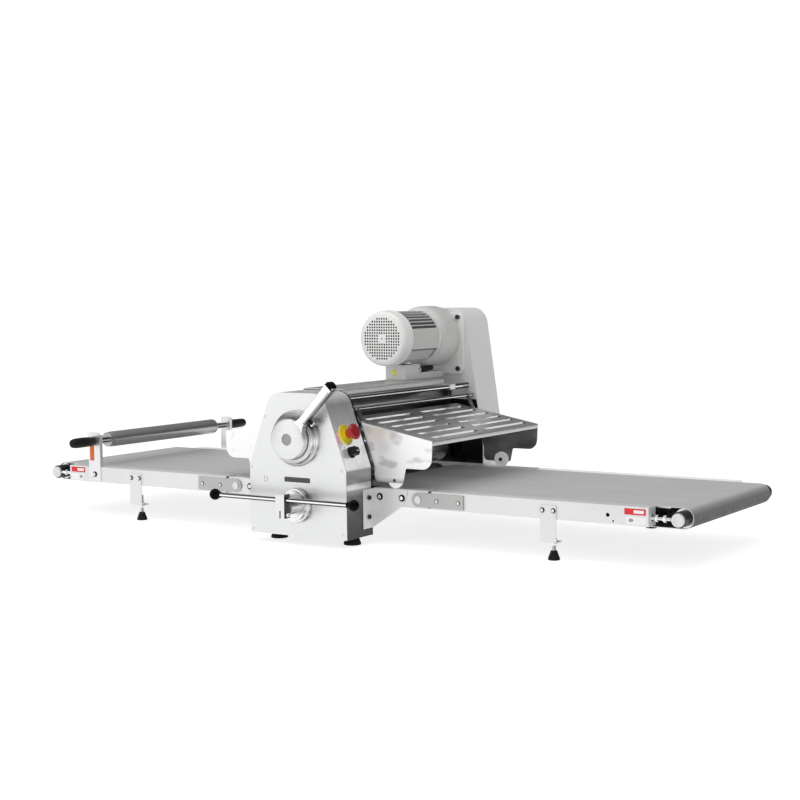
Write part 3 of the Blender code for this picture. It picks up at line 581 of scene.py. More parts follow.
def arc(x, z, radius, start_deg, end_deg, steps):
    turns = [math.radians(start_deg + (end_deg - start_deg) * k / steps) for k in range(steps + 1)]
    return [(x + radius * math.cos(turn), z + radius * math.sin(turn)) for turn in turns]


def mirrored(outline, side):
    return [(side * x, z) for x, z in outline]


def span(side, near, far):
    return sorted((side * near, side * far))


def plain_object(name, shapes):
    """One object from a list of shapes."""
    whole = bmesh.new()
    for bm in shapes:
        shape = bpy.data.meshes.new("shape")
        bm.to_mesh(shape)
        bm.free()
        whole.from_mesh(shape)
        bpy.data.meshes.remove(shape)
    mesh = bpy.data.meshes.new(name)
    whole.to_mesh(mesh)
    whole.free()
    obj = bpy.data.objects.new(name, mesh)
    bpy.context.scene.collection.objects.link(obj)
    return obj


def cut(obj, cutters):
    """Take shapes away from an object for good."""
    cutter = plain_object(obj.name + "_cutter", cutters)
    modifier = obj.modifiers.new("cut", "BOOLEAN")
    modifier.operation = "DIFFERENCE"
    modifier.solver = "EXACT"
    modifier.object = cutter
    mesh = bpy.data.meshes.new_from_object(obj.evaluated_get(bpy.context.evaluated_depsgraph_get()))
    obj.modifiers.clear()
    obj.data = mesh
    mesh.name = obj.name
    bpy.data.objects.remove(cutter)


def paint(obj, look):
    obj.data.materials.clear()
    obj.data.materials.append(material(look))


def second_look(obj, look, test):
    """A second material on the faces whose normal passes a test."""
    obj.data.materials.append(material(look))
    for face in obj.data.polygons:
        face.material_index = int(test(face.normal))


def add(name, shapes, look, body="frame", bevel=0.0, cuts=(), segments=2, replaces=(), sharp=35):
    """A finished piece: its shapes as one mesh, less cuts, with rounded edges, its material and its body."""
    obj = plain_object(name, shapes if isinstance(shapes, list) else [shapes])
    if cuts:
        cut(obj, cuts)
    obj.data.shade_smooth()
    obj.data.set_sharp_from_angle(angle=math.radians(sharp))
    if bevel:
        modifier = obj.modifiers.new("edges", "BEVEL")
        modifier.width = bevel
        modifier.segments = segments
        modifier.limit_method = "ANGLE"
        modifier.angle_limit = math.radians(sharp)
        modifier.harden_normals = True
    paint(obj, look)
    if body:
        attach(obj, body)
    if replaces:
        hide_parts(*replaces)
    return obj


# ---- Fasteners ----

def cap_screw(place, direction, radius, height):
    """Socket-head screw: a round head with a hexagonal recess."""
    rim = radius * 0.9
    socket = radius * 0.5
    profile = [(-0.0005, radius), (height * 0.85, radius), (height, rim), (height, socket, 6),
            (height * 0.4, socket, 6)]
    return turned(profile, place, direction, 24)


def hex_screw(place, direction, radius, height):
    apothem = radius * 0.866
    return turned([(-0.0005, apothem, 6), (height * 0.85, apothem, 6), (height, radius * 0.78)], place,
            direction, 24)


def washer(place, direction, radius, thick=0.0012):
    return turned([(-0.0003, radius), (thick * 0.7, radius), (thick, radius * 0.95)], place, direction, 32)


def dome_screw(place, direction, radius):
    """Button-head screw with a hexagonal recess."""
    rise = radius * 0.55
    profile = [(-0.0003, radius), (rise * 0.45, radius * 0.96), (rise * 0.8, radius * 0.75),
            (rise, radius * 0.48)]
    profile += [(rise, radius * 0.36, 6), (rise * 0.3, radius * 0.36, 6)]
    return turned(profile, place, direction, 24)


def dot(place, direction, radius, height=0.0002, sides=16):
    """A small printed or pressed disc."""
    return turned([(0, radius), (height, radius)], place, direction, sides)


def threaded(length, radius, pitch=0.00125):
    """Profile of a stud with its thread as close ridges."""
    profile = []
    for k in range(int(length / pitch)):
        profile += [(k * pitch, radius * 0.87), ((k + 0.5) * pitch, radius)]
    return profile + [(length, radius * 0.87)]


# ---- Housings ----

def housing_outline(half, slope, top, corner, inset=0.0, steps=10):
    low = half - inset
    high = low - slope * (top - KNEE_Z)
    right = [(low, HOUSING_BOTTOM + inset, 0.001), (low, KNEE_Z, 0.006), (high, top - inset, corner - inset)]
    left = [(-x, z, radius) for x, z, radius in reversed(right)]
    return rounded(right + left, steps)


def front_outline(inset=0.0):
    return housing_outline(FRONT_HALF, FRONT_SLOPE, FRONT_TOP, 0.045, inset)


def front_housing():
    back = FRONT_Y + SHEET
    holes = [rod_y(0, z, radius, FRONT_Y - CLEAR, back + CLEAR) for z,
            radius in ((LEVER_Z, 0.013), (CONTROL_Z, 0.0115))]
    screws = [(-0.1025, 0.3307), (-0.1475, 0.1972), (0.1415, 0.2), (-0.1455, 0.0335), (0.1431, 0.0377),
            (0.094, 0.335)]
    sink = [(0, 0.0042), (0.002, 0.0022), (0.01, 0.0022)]
    holes += [turned(sink, (x, FRONT_Y - 0.00001, z), TO_REAR, 20) for x, z in screws]
    add("front_panel", slab(front_outline(0.0003), FRONT_Y, back), "front_steel", bevel=0.0005, cuts=holes,
        replaces=["front_plate"])
    head = [(0, 0.002), (0.0008, 0.0036), (0.0012, 0.003), (0.0012, 0.0014, 6), (0.0002, 0.0014, 6)]
    add("panel_screws", [turned(head, (x, FRONT_Y + 0.0012, z), TO_FRONT, 24) for x, z in screws], "zinc")
    wrap = tube_slab(front_outline(), front_outline(SHEET), back + GAP, FRONT_IN - 0.0063)
    add("front_wrap", wrap, "casing_steel", bevel=0.0004, replaces=["front_casing"],
            sharp=25)
    plug_x, plug_z = -0.1058, 0.1675
    cap = [(0, 0.0088), (0.0012, 0.0088), (0.002, 0.0078)]
    add("panel_plug", turned(cap, (plug_x, FRONT_Y, plug_z), TO_FRONT, 40), "nylon")
    dots = [dot((plug_x, FRONT_Y - 0.0019, plug_z + dz), TO_FRONT, 0.0015, 0.0003)
            for dz in (-0.0042, 0.0042)]
    add("plug_dots", dots, "label_dark")
    badge = box_outline(-0.041, 0.041, 0.1635, 0.1765, 0.002, 4)
    add("blank_badge", slab(badge, FRONT_Y - 0.0007, FRONT_Y - 0.0001), "label_dark", bevel=0.0002)


def rear_housing():
    outline = housing_outline(REAR_HALF, REAR_SLOPE, REAR_TOP, 0.05, steps=14)
    add("rear_housing", slab(outline, REAR_IN, HALF_DEPTH), "cover_paint", bevel=0.007, segments=5,
        replaces=["rear_cover", "rear_frame_plate"], sharp=30)
    right = [(0.1365, 0.147), (0.1365, 0.2), (0.1165, 0.335)]
    left = [(-x, z) for x, z in reversed(right)]
    # Painted shade: a thin near-black sheet over the housing's face between the rolls.
    add("rear_inner_shade_sheet", slab(left[-1:] + right + left[:-1], REAR_IN - 0.0008, REAR_IN), "inner_dark")
    places = ((-0.118, 0.045), (0.118, 0.045), (-0.118, 0.2), (0.118, 0.2), (-0.085, 0.42), (0.085, 0.42),
            (0, 0.585))
    add("rear_screws", [dome_screw((x, HALF_DEPTH - 0.0004, z), TO_REAR, 0.004) for x, z in places], "zinc")
    louvres = [block(-0.04, 0.04, HALF_DEPTH - 0.001, HALF_DEPTH + 0.0003, 0.085 + 0.012 * k,
            0.0895 + 0.012 * k)
               for k in range(6)]
    # Painted shade: the louvres' openings are thin black bars.
    add("rear_louvres", louvres, "cavity")


def top_cover():
    half, low, high, end = 0.065, 0.377, 0.4, 0.2435
    start = FRONT_IN + GAP
    wall, r = 0.0015, 0.003
    shell = rounded([(half, low, 0), (half, high, r), (-half, high, r), (-half, low, 0),
                     (wall - half, low, 0), (wall - half, high - wall, r - wall),
                     (half - wall, high - wall, r - wall), (half - wall, low, 0)], 5)
    add("top_channel", slab(shell, start, end), "satin_steel", bevel=0.0003, replaces=["top_cover"],
        sharp=30)
    rods, ends = [], []
    for side, word in SIDES:
        rods.append(rod_y(side * 0.084, low, 0.0064, start, 0.236))
        rods.append(rod_y(side * 0.084, low, 0.009, 0.262, REAR_IN - GAP))
        ends.append(block(*span(side, 0.0655, 0.093), 0.2335, 0.262, 0.3685, 0.3855))
        ends.append(block(*span(side, 0.0655, 0.084), start + 0.003, start + 0.01, low + 0.0005,
                low + 0.0045))
    add("tie_rods", rods, "rod_chrome", bevel=0.0004)
    add("tie_rod_blocks", ends, "satin_steel", bevel=0.003, segments=3)
    for side, word in SIDES:
        bar = rod_y(side * GUARD_ROD_X, GUARD_ROD_Z, 0.005, start, REAR_IN - GAP)
        add(f"{word}_guard_bar", bar, "rod_chrome", bevel=0.0003, replaces=[f"{word}_guard_rod"])


def feet():
    profile = [(0, 0.0215), (0.0008, 0.023), (0.0045, 0.023), (0.006, 0.0222), (0.0165, 0.0185),
            (0.0175, 0.017)]
    for word, y in (("front", -0.3065), ("rear", REAR_IN + 0.061)):
        shapes = [turned(profile, (side * 0.1185, y, 0), UP) for side in (1, -1)]
        shapes.append(block(-0.1305, 0.1305, y - 0.016, y + 0.016, 0.014, HOUSING_BOTTOM - GAP))
        add(f"{word}_feet", shapes, "rubber", bevel=0.0006, replaces=[f"{word}_foot_bar"])


# ---- Rolls and carriage ----

def rolls():
    def roll(z, front, back, radius):
        body = [(0, ROLL_R - 0.0012), (0.0012, ROLL_R), (0.5228, ROLL_R), (0.524, ROLL_R - 0.0012)]
        return [turned(body, (0, MID_Y - 0.262, z), TO_REAR, 96), rod_y(0, z, radius, front, back)]

    lower = roll(LOWER_ROLL_Z, FRONT_IN - 0.005, REAR_IN + 0.006, 0.01)
    add("lower_sheeting_roll", lower, "roll_steel", "lower_roll", replaces=["lower_roll"])
    upper = roll(UPPER_ROLL_Z, MID_Y - 0.292, MID_Y + 0.292, 0.012)
    add("upper_sheeting_roll", upper, "roll_steel", "upper_roll", replaces=["upper_roll"])
    front, rear, thick = FRONT_IN + 0.006, REAR_IN - 0.006, 0.02
    blocks, slots = [], []
    for y in (front, rear - thick):
        blocks.append(block(-0.035, 0.035, y, y + thick, 0.16, 0.372))
        slots.append(rod_y(0, UPPER_ROLL_Z, 0.0128, y - CLEAR, y + thick + CLEAR))
        slots.append(block(-0.0128, 0.0128, y - CLEAR, y + thick + CLEAR, 0.2455, 0.299))
    add("carriage_blocks", blocks, "dark_steel", "carriage", 0.001, slots, replaces=["roll_carriage"])
    scraper = block(-0.0015, 0.0015, front + 0.021, rear - 0.021, 0.256, 0.33)
    # Painted shade: the scraper is near black.
    add("roll_scraper", scraper, "inner_dark", "carriage")
    add("carriage_tube", rod_y(0, 0.345, 0.022, front + 0.018, rear - 0.018, 64), "roll_steel", "carriage")


def repaint_cad():
    """The CAD model's own nodes that stay on show."""
    # Painted shade: the front frame plate is near black.
    looks = {"drive_chain": "zinc", "motor_rotor": "zinc", "front_frame_plate": "inner_dark"}
    for side, word in SIDES:
        looks.update({f"{word}_drive_roller": "zinc", f"{word}_end_roller": "zinc"})
        looks.update({f"{word}_table_bed": "satin_steel", f"{word}_fixed_bed": "satin_steel"})
    for node, look in looks.items():
        paint(frame["nodes"][node], look)


# ---- Gap lever and index ring ----

def gap_lever():
    """The hub, and a flat arm that widens into it."""
    body = "gap_lever"
    back = RING_FRONT_Y - GAP
    face = HUB_FRONT_Y + 0.0008
    half, corner = 0.013, 0.005
    flare = [(0.03, 0.024), (0.048, 0.0215), (0.056, 0.014), (0.068, 0.0108)]
    arm = [(along, -across) for along, across in flare] + [(LEVER_LENGTH - corner, -half)]
    arm += arc(LEVER_LENGTH - corner, corner - half, corner, -80, 0, 5)
    arm += arc(LEVER_LENGTH - corner, half - corner, corner, 0, 80, 5)
    arm += [(LEVER_LENGTH - corner, half)] + flare[::-1]
    turn = Matrix.Rotation(LEVER_ANGLE, 2)

    def placed(points):
        return [((turn @ Vector(p)).x, LEVER_Z + (turn @ Vector(p)).y) for p in points]

    hub = [(0, HUB_R), (0.0155, HUB_R), (0.0195, HUB_R - 0.0018), (0.0212, HUB_R - 0.0055)]
    recess = turned([(0, 0.0152), (0.003, 0.0152)], (0, HUB_FRONT_Y - 0.001, LEVER_Z), TO_REAR)
    add("lever_hub", turned(hub, (0, back, LEVER_Z), TO_FRONT, 96), "front_steel", body, 0.0003, [recess],
        replaces=["gap_lever"], sharp=50)
    add("lever_arm", slab(placed(arm), HUB_FRONT_Y + 0.001, back - 0.0005), "drum_steel", body, 0.0016,
            segments=4,
        sharp=50)
    end = LEVER_LENGTH
    cap = [(end - 0.012, -0.0134), (end - 0.001, -0.012), (end + 0.003, -0.007), (end + 0.004, 0)]
    cap += [(along, -across) for along, across in reversed(cap[:3])]
    groove = [(0.066, -0.0092), (end - 0.018, -0.0108), (end - 0.018, -0.009), (0.066, -0.0076)]
    # Painted shade: a thin dark strip along the arm's face stands for a groove's shade.
    add("lever_groove_shade", slab(placed(groove), face, face + 0.0008), "dark_steel", body)
    add("lever_tip", slab(placed(cap), face, back - 0.0012), "black_gloss", body, 0.002, segments=4)
    # Painted shade: a thin dark ring behind the hub's rim, where hub meets drum.
    add("hub_shade_ring", rod_y(0, LEVER_Z, HUB_R + 0.0014, back - 0.0009, back - 0.00005, 96), "dark_steel", body)
    middle = [(0, 0.015), (0.0006, 0.015), (0.0012, 0.0138)]
    add("hub_cap", turned(middle, (0, HUB_FRONT_Y + 0.0016, LEVER_Z), TO_FRONT), "cap_grey", body)
    add("lever_shaft", rod_y(0, LEVER_Z, 0.012, back - 0.001, REAR_IN - 0.003), "roll_steel", body)


def index_ring():
    back = FRONT_Y - GAP
    depth = back - RING_FRONT_Y
    step_r, dent_r = 0.0655, 0.0595
    profile = [(0, RING_R), (0.0072, RING_R), (0.0086, RING_R - 0.0012), (0.009, step_r + 0.001),
            (0.0102, step_r)]
    profile += [(depth - 0.0015, step_r), (depth, step_r - 0.0015), (depth, 0.015)]
    dents = []
    for k in range(11):
        turn = math.radians(15 + 15 * k)
        x, z = dent_r * math.cos(turn), LEVER_Z + dent_r * math.sin(turn)
        dents.append(ball(x, RING_FRONT_Y - 0.001, z, 0.0023, 16))
    drum = add("index_drum", turned(profile, (0, back, LEVER_Z), TO_FRONT, 96), "drum_steel", bevel=0.0003,
            cuts=dents,
               replaces=["index_ring"])
    # Painted reflection: the ring's flat faces take the ring_face look.
    second_look(drum, "ring_face", lambda normal: abs(normal.y) > 0.9)
    stop_x, stop_z = 0.0655, 0.3235
    body = block(-0.009, 0.009, RING_FRONT_Y - 0.0035, back, -0.0075, 0.0075)
    body.transform(Matrix.Translation((stop_x, 0, stop_z)) @ Matrix.Rotation(math.radians(45), 4, "Y"))
    add("stop_block", body, "drum_steel", bevel=0.0008)
    pin = [(0, 0.0058), (0.003, 0.0058), (0.0045, 0.0048)]
    add("stop_pin", turned(pin, (stop_x, RING_FRONT_Y - 0.0033, stop_z), TO_FRONT, 24), "black_plastic")


def control_bar():
    body = "control_bar"
    boss = [(0, 0.01), (0.0178, 0.01), (0.0179, 0.0395), (0.0195, 0.0435), (0.0215, 0.045), (0.03, 0.045)]
    boss += [(0.0312, 0.044), (0.0316, 0.04), (0.04, 0.0392), (0.0408, 0.03), (0.042, 0.0295),
            (0.0425, 0.021)]
    boss += [(0.07, 0.0205), (0.0705, 0.015)]
    add("control_boss", turned(boss, (0, FRONT_Y + 0.0173, CONTROL_Z), TO_FRONT, 72), "drum_steel", body,
        replaces=["control_bar"], sharp=30)
    half = 0.0145
    clamp = block(-half, half, BAR_Y - 0.0115, BAR_Y + 0.0135, 0.0785, 0.1405)
    slit = block(-0.0016, 0.0016, BAR_Y - 0.02, BAR_Y + 0.02, 0.07, 0.0985)
    piece = add("control_clamp", clamp, "front_steel", body, 0.0012, [slit], segments=3)
    # Painted shade: the clamp's faces turned to +X take dark steel.
    second_look(piece, "dark_steel", lambda normal: normal.x > 0.9)
    bolt = [cap_screw((half, BAR_Y, 0.088), (1, 0, 0), 0.0055, 0.006)]
    bolt.append(hex_screw((-half, BAR_Y, 0.088), (-1, 0, 0), 0.006, 0.005))
    add("control_clamp_bolt", bolt, "bright_bolt", body)
    add("control_rod", rod_x(BAR_Y, BAR_Z, 0.0067, 0.004 - BAR_HALF, BAR_HALF - 0.004), "rod_chrome", body)
    for side, word in SIDES:
        neck = rod_x(BAR_Y, BAR_Z, 0.0085, *span(side, BAR_HALF - 0.0185, BAR_HALF - 0.01))
        knob = [ball(side * BAR_HALF, BAR_Y, BAR_Z, KNOB_R - 0.001, 48), neck]
        add(f"{word}_ball_knob", knob, "black_gloss", body)


# ---- Controls on the casing's slope ----

PANEL_OUT = Vector((1, 0, FRONT_SLOPE)).normalized()
PANEL_UP = PANEL_OUT.cross(Vector(TO_REAR))


def panel_point(z, out, across=0.0, up=0.0):
    """A place over the slope, from the height of a control's middle."""
    middle = Vector((FRONT_HALF - FRONT_SLOPE * (z - KNEE_Z), PANEL_Y, z))
    return middle + PANEL_OUT * out + Vector(TO_REAR) * across + PANEL_UP * up


def stop_button():
    disc = [(0, 0.027), (0.0018, 0.027), (0.0025, 0.0262), (0.0025, 0.0105), (0.0087, 0.0103)]
    add("estop_plate", turned(disc, panel_point(STOP_Z, GAP), PANEL_OUT, 64), "yellow",
        replaces=["estop_base"])
    marks = []
    for k in range(22):
        if k % 11 not in (0, 10, 1):
            turn = 2 * math.pi * k / 22
            spot = panel_point(STOP_Z, 0.0026, 0.0225 * math.cos(turn), 0.0225 * math.sin(turn))
            marks.append(dot(spot, PANEL_OUT, 0.0017, sides=8))
    add("estop_ring_marks", marks, "label_dark")
    neck = [(0.0065, 0.0109), (0, 0.0109), (0, 0.013), (0.004, 0.0132), (0.013, 0.0142), (0.0175, 0.0172)]
    add("estop_neck", turned(neck, panel_point(STOP_Z, 0.0085), PANEL_OUT, 64), "salmon", "estop_button",
        replaces=["estop_button"])
    head = [(0, 0.018), (0.0012, 0.0204), (0.0035, 0.0212), (0.0062, 0.0212), (0.0088, 0.0198),
            (0.0104, 0.017)]
    head += [(0.011, 0.0125), (0.0114, 0.006), (0.0115, 0.001)]
    add("estop_head", turned(head, panel_point(STOP_Z, 0.0245), PANEL_OUT, 64), "red", "estop_button",
        sharp=50)


def selector():
    body = "selector_knob"
    base = [(0, 0.015), (0.0022, 0.015), (0.003, 0.0142), (0.0032, 0.011)]
    add("selector_base", turned(base, panel_point(SELECTOR_Z, GAP), PANEL_OUT), "black_plastic", body,
        replaces=["selector_knob"])
    turn = Matrix.Translation(panel_point(SELECTOR_Z,
            GAP)) @ pointing(PANEL_OUT) @ Matrix.Rotation(math.radians(75), 4, "Z")

    def standing(outline, low, high):
        shape = prism([(x, y, 0) for x, y in outline], (0, 0, low), (0, 0, high))
        shape.transform(turn)
        return shape

    line = ((-0.001, -0.0012), (0.01, -0.0004), (0.01, 0.0004), (-0.001, 0.0012))
    add("selector_pointer", standing(line, 0.0199, 0.0203), "label_white", body)
    spots = [panel_point(SELECTOR_Z, 0.0001, across, rise) for across,
            rise in ((-0.0215, 0.015), (0, 0.0205), (0.0215, 0.015))]
    add("selector_marks", [dot(spot, PANEL_OUT, 0.0016) for spot in spots], "label_dark")
    grip = [(-0.0112, -0.0105), (0.0075, -0.0105), (0.0135, 0.0), (0.0075, 0.0105), (-0.0112, 0.0105)]
    add("selector_grip", standing(grip, 0.001, 0.02), "black_plastic", body, 0.0012, segments=3)


# ---- Motor ----

def round_motor(profile, y, sides=96):
    """A round part on the motor's axis from (depth, radius) pairs."""
    return turned(profile, (MOTOR_X, y, MOTOR_Z), TO_REAR, sides)


def motor():
    length = BARREL_Y - COWL_Y - GAP
    outer = [(0, 0.0165), (0.0008, 0.011), (0.003, 0.0064), (0.0066, 0.0034), (0.012, 0.0018),
            (length, 0.0014)]
    inner = [(length, 0.003), (0.0122, 0.0034), (0.0074, 0.005), (0.0042, 0.0078), (0.0024, 0.012),
            (0.0018, 0.0166)]
    shell = [(0, 0.001)] + [(along, COWL_R - inset) for along, inset in outer + inner] + [(0.0018, 0.001)]
    pitch, middle_y = 0.008, (COWL_Y - CLEAR, COWL_Y + CLEAR)
    holes = [rod_y(MOTOR_X, MOTOR_Z, 0.0024, *middle_y, 16)]
    for i in range(-8, 9):
        for j in range(-8, 9):
            if math.hypot(i * pitch, j * pitch) < 0.0595 and max(abs(i), abs(j)) > 1:
                holes.append(rod_y(MOTOR_X + i * pitch, MOTOR_Z + j * pitch, 0.0029, *middle_y, 10))
    add("fan_cover", round_motor(shell, COWL_Y), "cowl_paint", cuts=holes, replaces=["fan_cowl"],
        sharp=32)
    # Painted shade: a black disc behind the cowl's holes.
    add("fan_shadow", rod_y(MOTOR_X, MOTOR_Z, 0.068, COWL_Y + 0.0035, COWL_Y + 0.0045), "cavity")
    bead = [(0, COWL_R - 0.0005), (0.0008, COWL_R + 0.0003), (0.0022, COWL_R + 0.0003),
            (0.003, COWL_R - 0.0005)]
    add("cowl_bead", round_motor(bead, BARREL_Y - 0.0042), "cowl_paint")
    barrel()
    rim = [(0, 0.0745), (0.0006, 0.0795), (0.0045, 0.08), (0.006, 0.079), (0.0064, 0.074)]
    add("barrel_rim", round_motor(rim, BELL_Y - 0.0075), "cowl_paint", sharp=50)
    face = REAR_IN - GAP
    bell = [(0, 0.078), (0.003, 0.0815), (0.008, 0.085), (0.016, 0.0872), (0.026, BELL_R), (0.078, BELL_R)]
    bell += [(0.086, 0.0868), (face - BELL_Y - 0.009, 0.0855)]
    add("motor_bell", round_motor(bell, BELL_Y - 0.0012), "bell_paint", sharp=50)
    flange = [(0.0795, 0.409, 0.018), (0.0795, 0.59, 0.02), (-0.06, 0.59, 0.02), (-0.0985, 0.545, 0.02)]
    flange = rounded(flange + [(-0.0985, 0.409, 0.018)], 10)
    add("motor_flange", slab(flange, face - 0.011, face), "cowl_paint", bevel=0.0012, segments=3, sharp=40)
    places = ((0.0615, 0.576), (0.0615, 0.4242), (-0.083, 0.4242), (-0.056, 0.574))
    washers = [washer((x, face - 0.011, z), TO_FRONT, 0.0088, 0.0016) for x, z in places]
    add("flange_washers", washers, "bright_bolt")
    bolts = [cap_screw((x, face - 0.0125, z), TO_FRONT, 0.0062, 0.006) for x, z in places]
    add("flange_bolts", bolts, "dark_steel")


def barrel():
    """The motor's body: fins on top, a flat panel on each side and a chamfered one below each."""
    y0, y1 = BARREL_Y, BELL_Y - 0.0074

    def plate(turn_deg, half_wide, base, top, ya, yb):
        """A bar along the barrel standing out between two radii."""
        bar = block(base, top, ya, yb, -half_wide, half_wide)
        bar.transform(Matrix.Translation((MOTOR_X, 0, MOTOR_Z)) @ Matrix.Rotation(math.radians(-turn_deg), 4,
                "Y"))
        return bar

    panels = []
    for middle, side in ((0, 1), (180, -1)):
        panels.append(plate(middle - side * 2, 0.029, 0.06, 0.0742, y0 + 0.002, y1))
        panels.append(plate(middle - side * 42, 0.017, 0.066, 0.0742, y0 + 0.002, y1 - 0.012))
    panels.append(plate(90, 0.018, 0.068, 0.0752, y0 + 0.002, y1))
    fins = []
    for first, pitch, top in ((28.5, 9.3, 0.0755), (-59, -7.5, 0.074)):
        for k in range(5):
            for middle, side in ((0, 1), (180, -1)):
                fins.append(plate(middle + side * (first + pitch * k), 0.0013, 0.064, top, y0 + 0.004, y1))
    circle = arc(MOTOR_X, MOTOR_Z, 0.0715, 0, 360, 96)[:-1]
    # Painted shade: the barrel's core, seen between the fins and panels, is near black.
    add("motor_barrel", slab(circle, y0, y1), "motor_dark", replaces=["motor_body"])
    add("barrel_panels", panels, "motor_paint", bevel=0.0012, segments=3)
    add("barrel_fins", fins, "motor_paint", bevel=0.0005)
    ring = [(0, 0.0735), (0.0005, 0.0765), (0.006, 0.0765), (0.0068, 0.0735)]
    add("barrel_front_ring", round_motor(ring, y0 + 0.0002), "motor_paint", sharp=50)
    screws = [dome_screw((MOTOR_X, y1 - 0.022, MOTOR_Z + 0.075), UP, 0.0035),
              dome_screw((MOTOR_X + 0.054, y0 + 0.0145, MOTOR_Z + 0.051), (0.7, 0, 0.7), 0.003),
              dome_screw((MOTOR_X + 0.05, y0 + 0.01, MOTOR_Z - 0.0545), (0.7, 0, -0.7), 0.003)]
    add("barrel_screws", screws, "zinc")


def terminal_box():
    left, right, low = -0.056, 0.012, 0.4003
    boxes = [block(left, right, 0.1205, 0.1985, low, 0.4445), block(left, right, 0.199, 0.328, low, 0.419)]
    add("junction_box", boxes, "box_paint", bevel=0.0016, segments=3, replaces=["terminal_box"])
    add("motor_lead", tube([(x, y, z + 0.002) for x, y, z in LEAD], 0.0082, 24), "black_plastic")
    gland = [(0, 0.0088, 6), (0.005, 0.0088, 6), (0.0052, 0.0078), (0.0105, 0.007)]
    add("lead_gland", turned(gland, (0.004, 0.1985, 0.4275), TO_REAR, 24), "nylon")
    shield = [(-0.0325, 0.429, 0.0012), (-0.019, 0.429, 0.0012), (-0.019, 0.419, 0.004),
            (-0.0257, 0.411, 0.001)]
    shield = rounded(shield + [(-0.0325, 0.419, 0.004)], 3)
    add("blank_sticker", slab(shield, 0.1201, 0.1204), "sticker_yellow")


# ---- Tables ----

class Corner:
    """The rail at one side, front or rear, with places measured from the middle and outward from its face."""

    def __init__(self, side, word, flip, place):
        self.side, self.flip = side, flip
        self.tag, self.table = f"{word}_{place}", f"{word}_table"
        self.outer = MID_Y + flip * HALF_OPEN
        self.out = (0, flip, 0)

    def y(self, outward):
        return self.outer + self.flip * outward

    def ys(self, one, other):
        return sorted((self.y(one), self.y(other)))

    def at(self, x, outward, z):
        return self.side * x, self.y(outward), z

    def xs(self, near, far):
        return span(self.side, near, far)

    def bore(self, x, z, radius, reach=CLEAR, sides=24):
        return rod_y(self.side * x, z, radius, self.outer - reach, self.outer + reach, sides)

    def channel(self):
        """The rail's C section in YZ, its web on the outer side."""
        wall, top = SHEET, RAIL_TOP - 0.0012 if self.flip > 0 else RAIL_TOP
        web, inside, lip = self.y(0), self.y(-wall), self.y(-RAIL_FLANGE)
        return rounded([(web, top, 0.0016), (web, RAIL_BOTTOM, 0.0016), (lip, RAIL_BOTTOM, 0),
                (lip, RAIL_BOTTOM + wall, 0),
                        (inside, RAIL_BOTTOM + wall, 0), (inside, top - wall, 0), (lip, top - wall, 0),
                        (lip, top, 0)], 4)


def tables():
    for side, word in SIDES:
        for flip, place in PLACES:
            corner = Corner(side, word, flip, place)
            rail(corner)
            hinge_plate(corner)
            gusset(corner, FRONT_HALF if flip < 0 else REAR_HALF)
            leg(corner)
            if flip < 0:
                labels(side, word, corner.outer)


def rail(corner):
    near, far = corner.xs(RAIL_END_X - 0.003, RAIL_END_X)
    plate = block(near, far, *corner.ys(-0.002, -0.0405), RAIL_BOTTOM + 0.0005, RAIL_TOP - 0.0005)
    cuts = [rod_x(corner.y(-0.0195), LOOP_Z, 0.0048, near - CLEAR, far + CLEAR)]
    if corner.flip < 0:
        cuts += [corner.bore(0.827, 0.123, 0.0048), corner.bore(0.841, 0.109, 0.0024, sides=16)]
    shapes = [sweep_x(corner.channel(), *corner.xs(RAIL_START_X, RAIL_END_X)), plate]
    # Painted light: rear rails take a paler, glowing copy of the front rails' paint.
    add(f"{corner.tag}_channel", shapes, "rail_satin" if corner.flip < 0 else "rail_bright", corner.table,
            0.0003, cuts,
        replaces=[f"{corner.tag}_rail"])


def hinge_plate(corner):
    thick, half, end = 0.0045, 0.0185, 0.431
    plate = mirrored(arc(PIVOT_X, PIVOT_Z, half, 90, 270, 24) + [(end, PIVOT_Z - half),
            (end, PIVOT_Z + half)], corner.side)
    add(f"{corner.tag}_hinge_plate", slab(plate, *corner.ys(GAP, thick)), "hinge_steel", corner.table,
            0.0005, sharp=50)
    pin = [(0, 0.0098), (0.003, 0.0098), (0.004, 0.0088), (0.0042, 0.006), (0.0036, 0.0055)]
    shapes = [turned(pin, corner.at(PIVOT_X, 0.0043, PIVOT_Z), corner.out, 40)]
    shapes.append(rod_y(corner.side * PIVOT_X, PIVOT_Z, 0.006, *corner.ys(-0.012, 0.004), 24))
    add(f"{corner.tag}_pivot", shapes, "rail_satin", corner.table, sharp=50)
    places, z = (0.353, 0.4165), PIVOT_Z - 0.001
    rings = [washer(corner.at(x, thick, z), corner.out, 0.006, 0.0006) for x in places]
    add(f"{corner.tag}_hinge_rings", rings, "dark_steel", corner.table)
    heads = [dome_screw(corner.at(x, thick + 0.0006, z), corner.out, 0.0044) for x in places]
    add(f"{corner.tag}_hinge_screws", heads, "bright_bolt", corner.table)


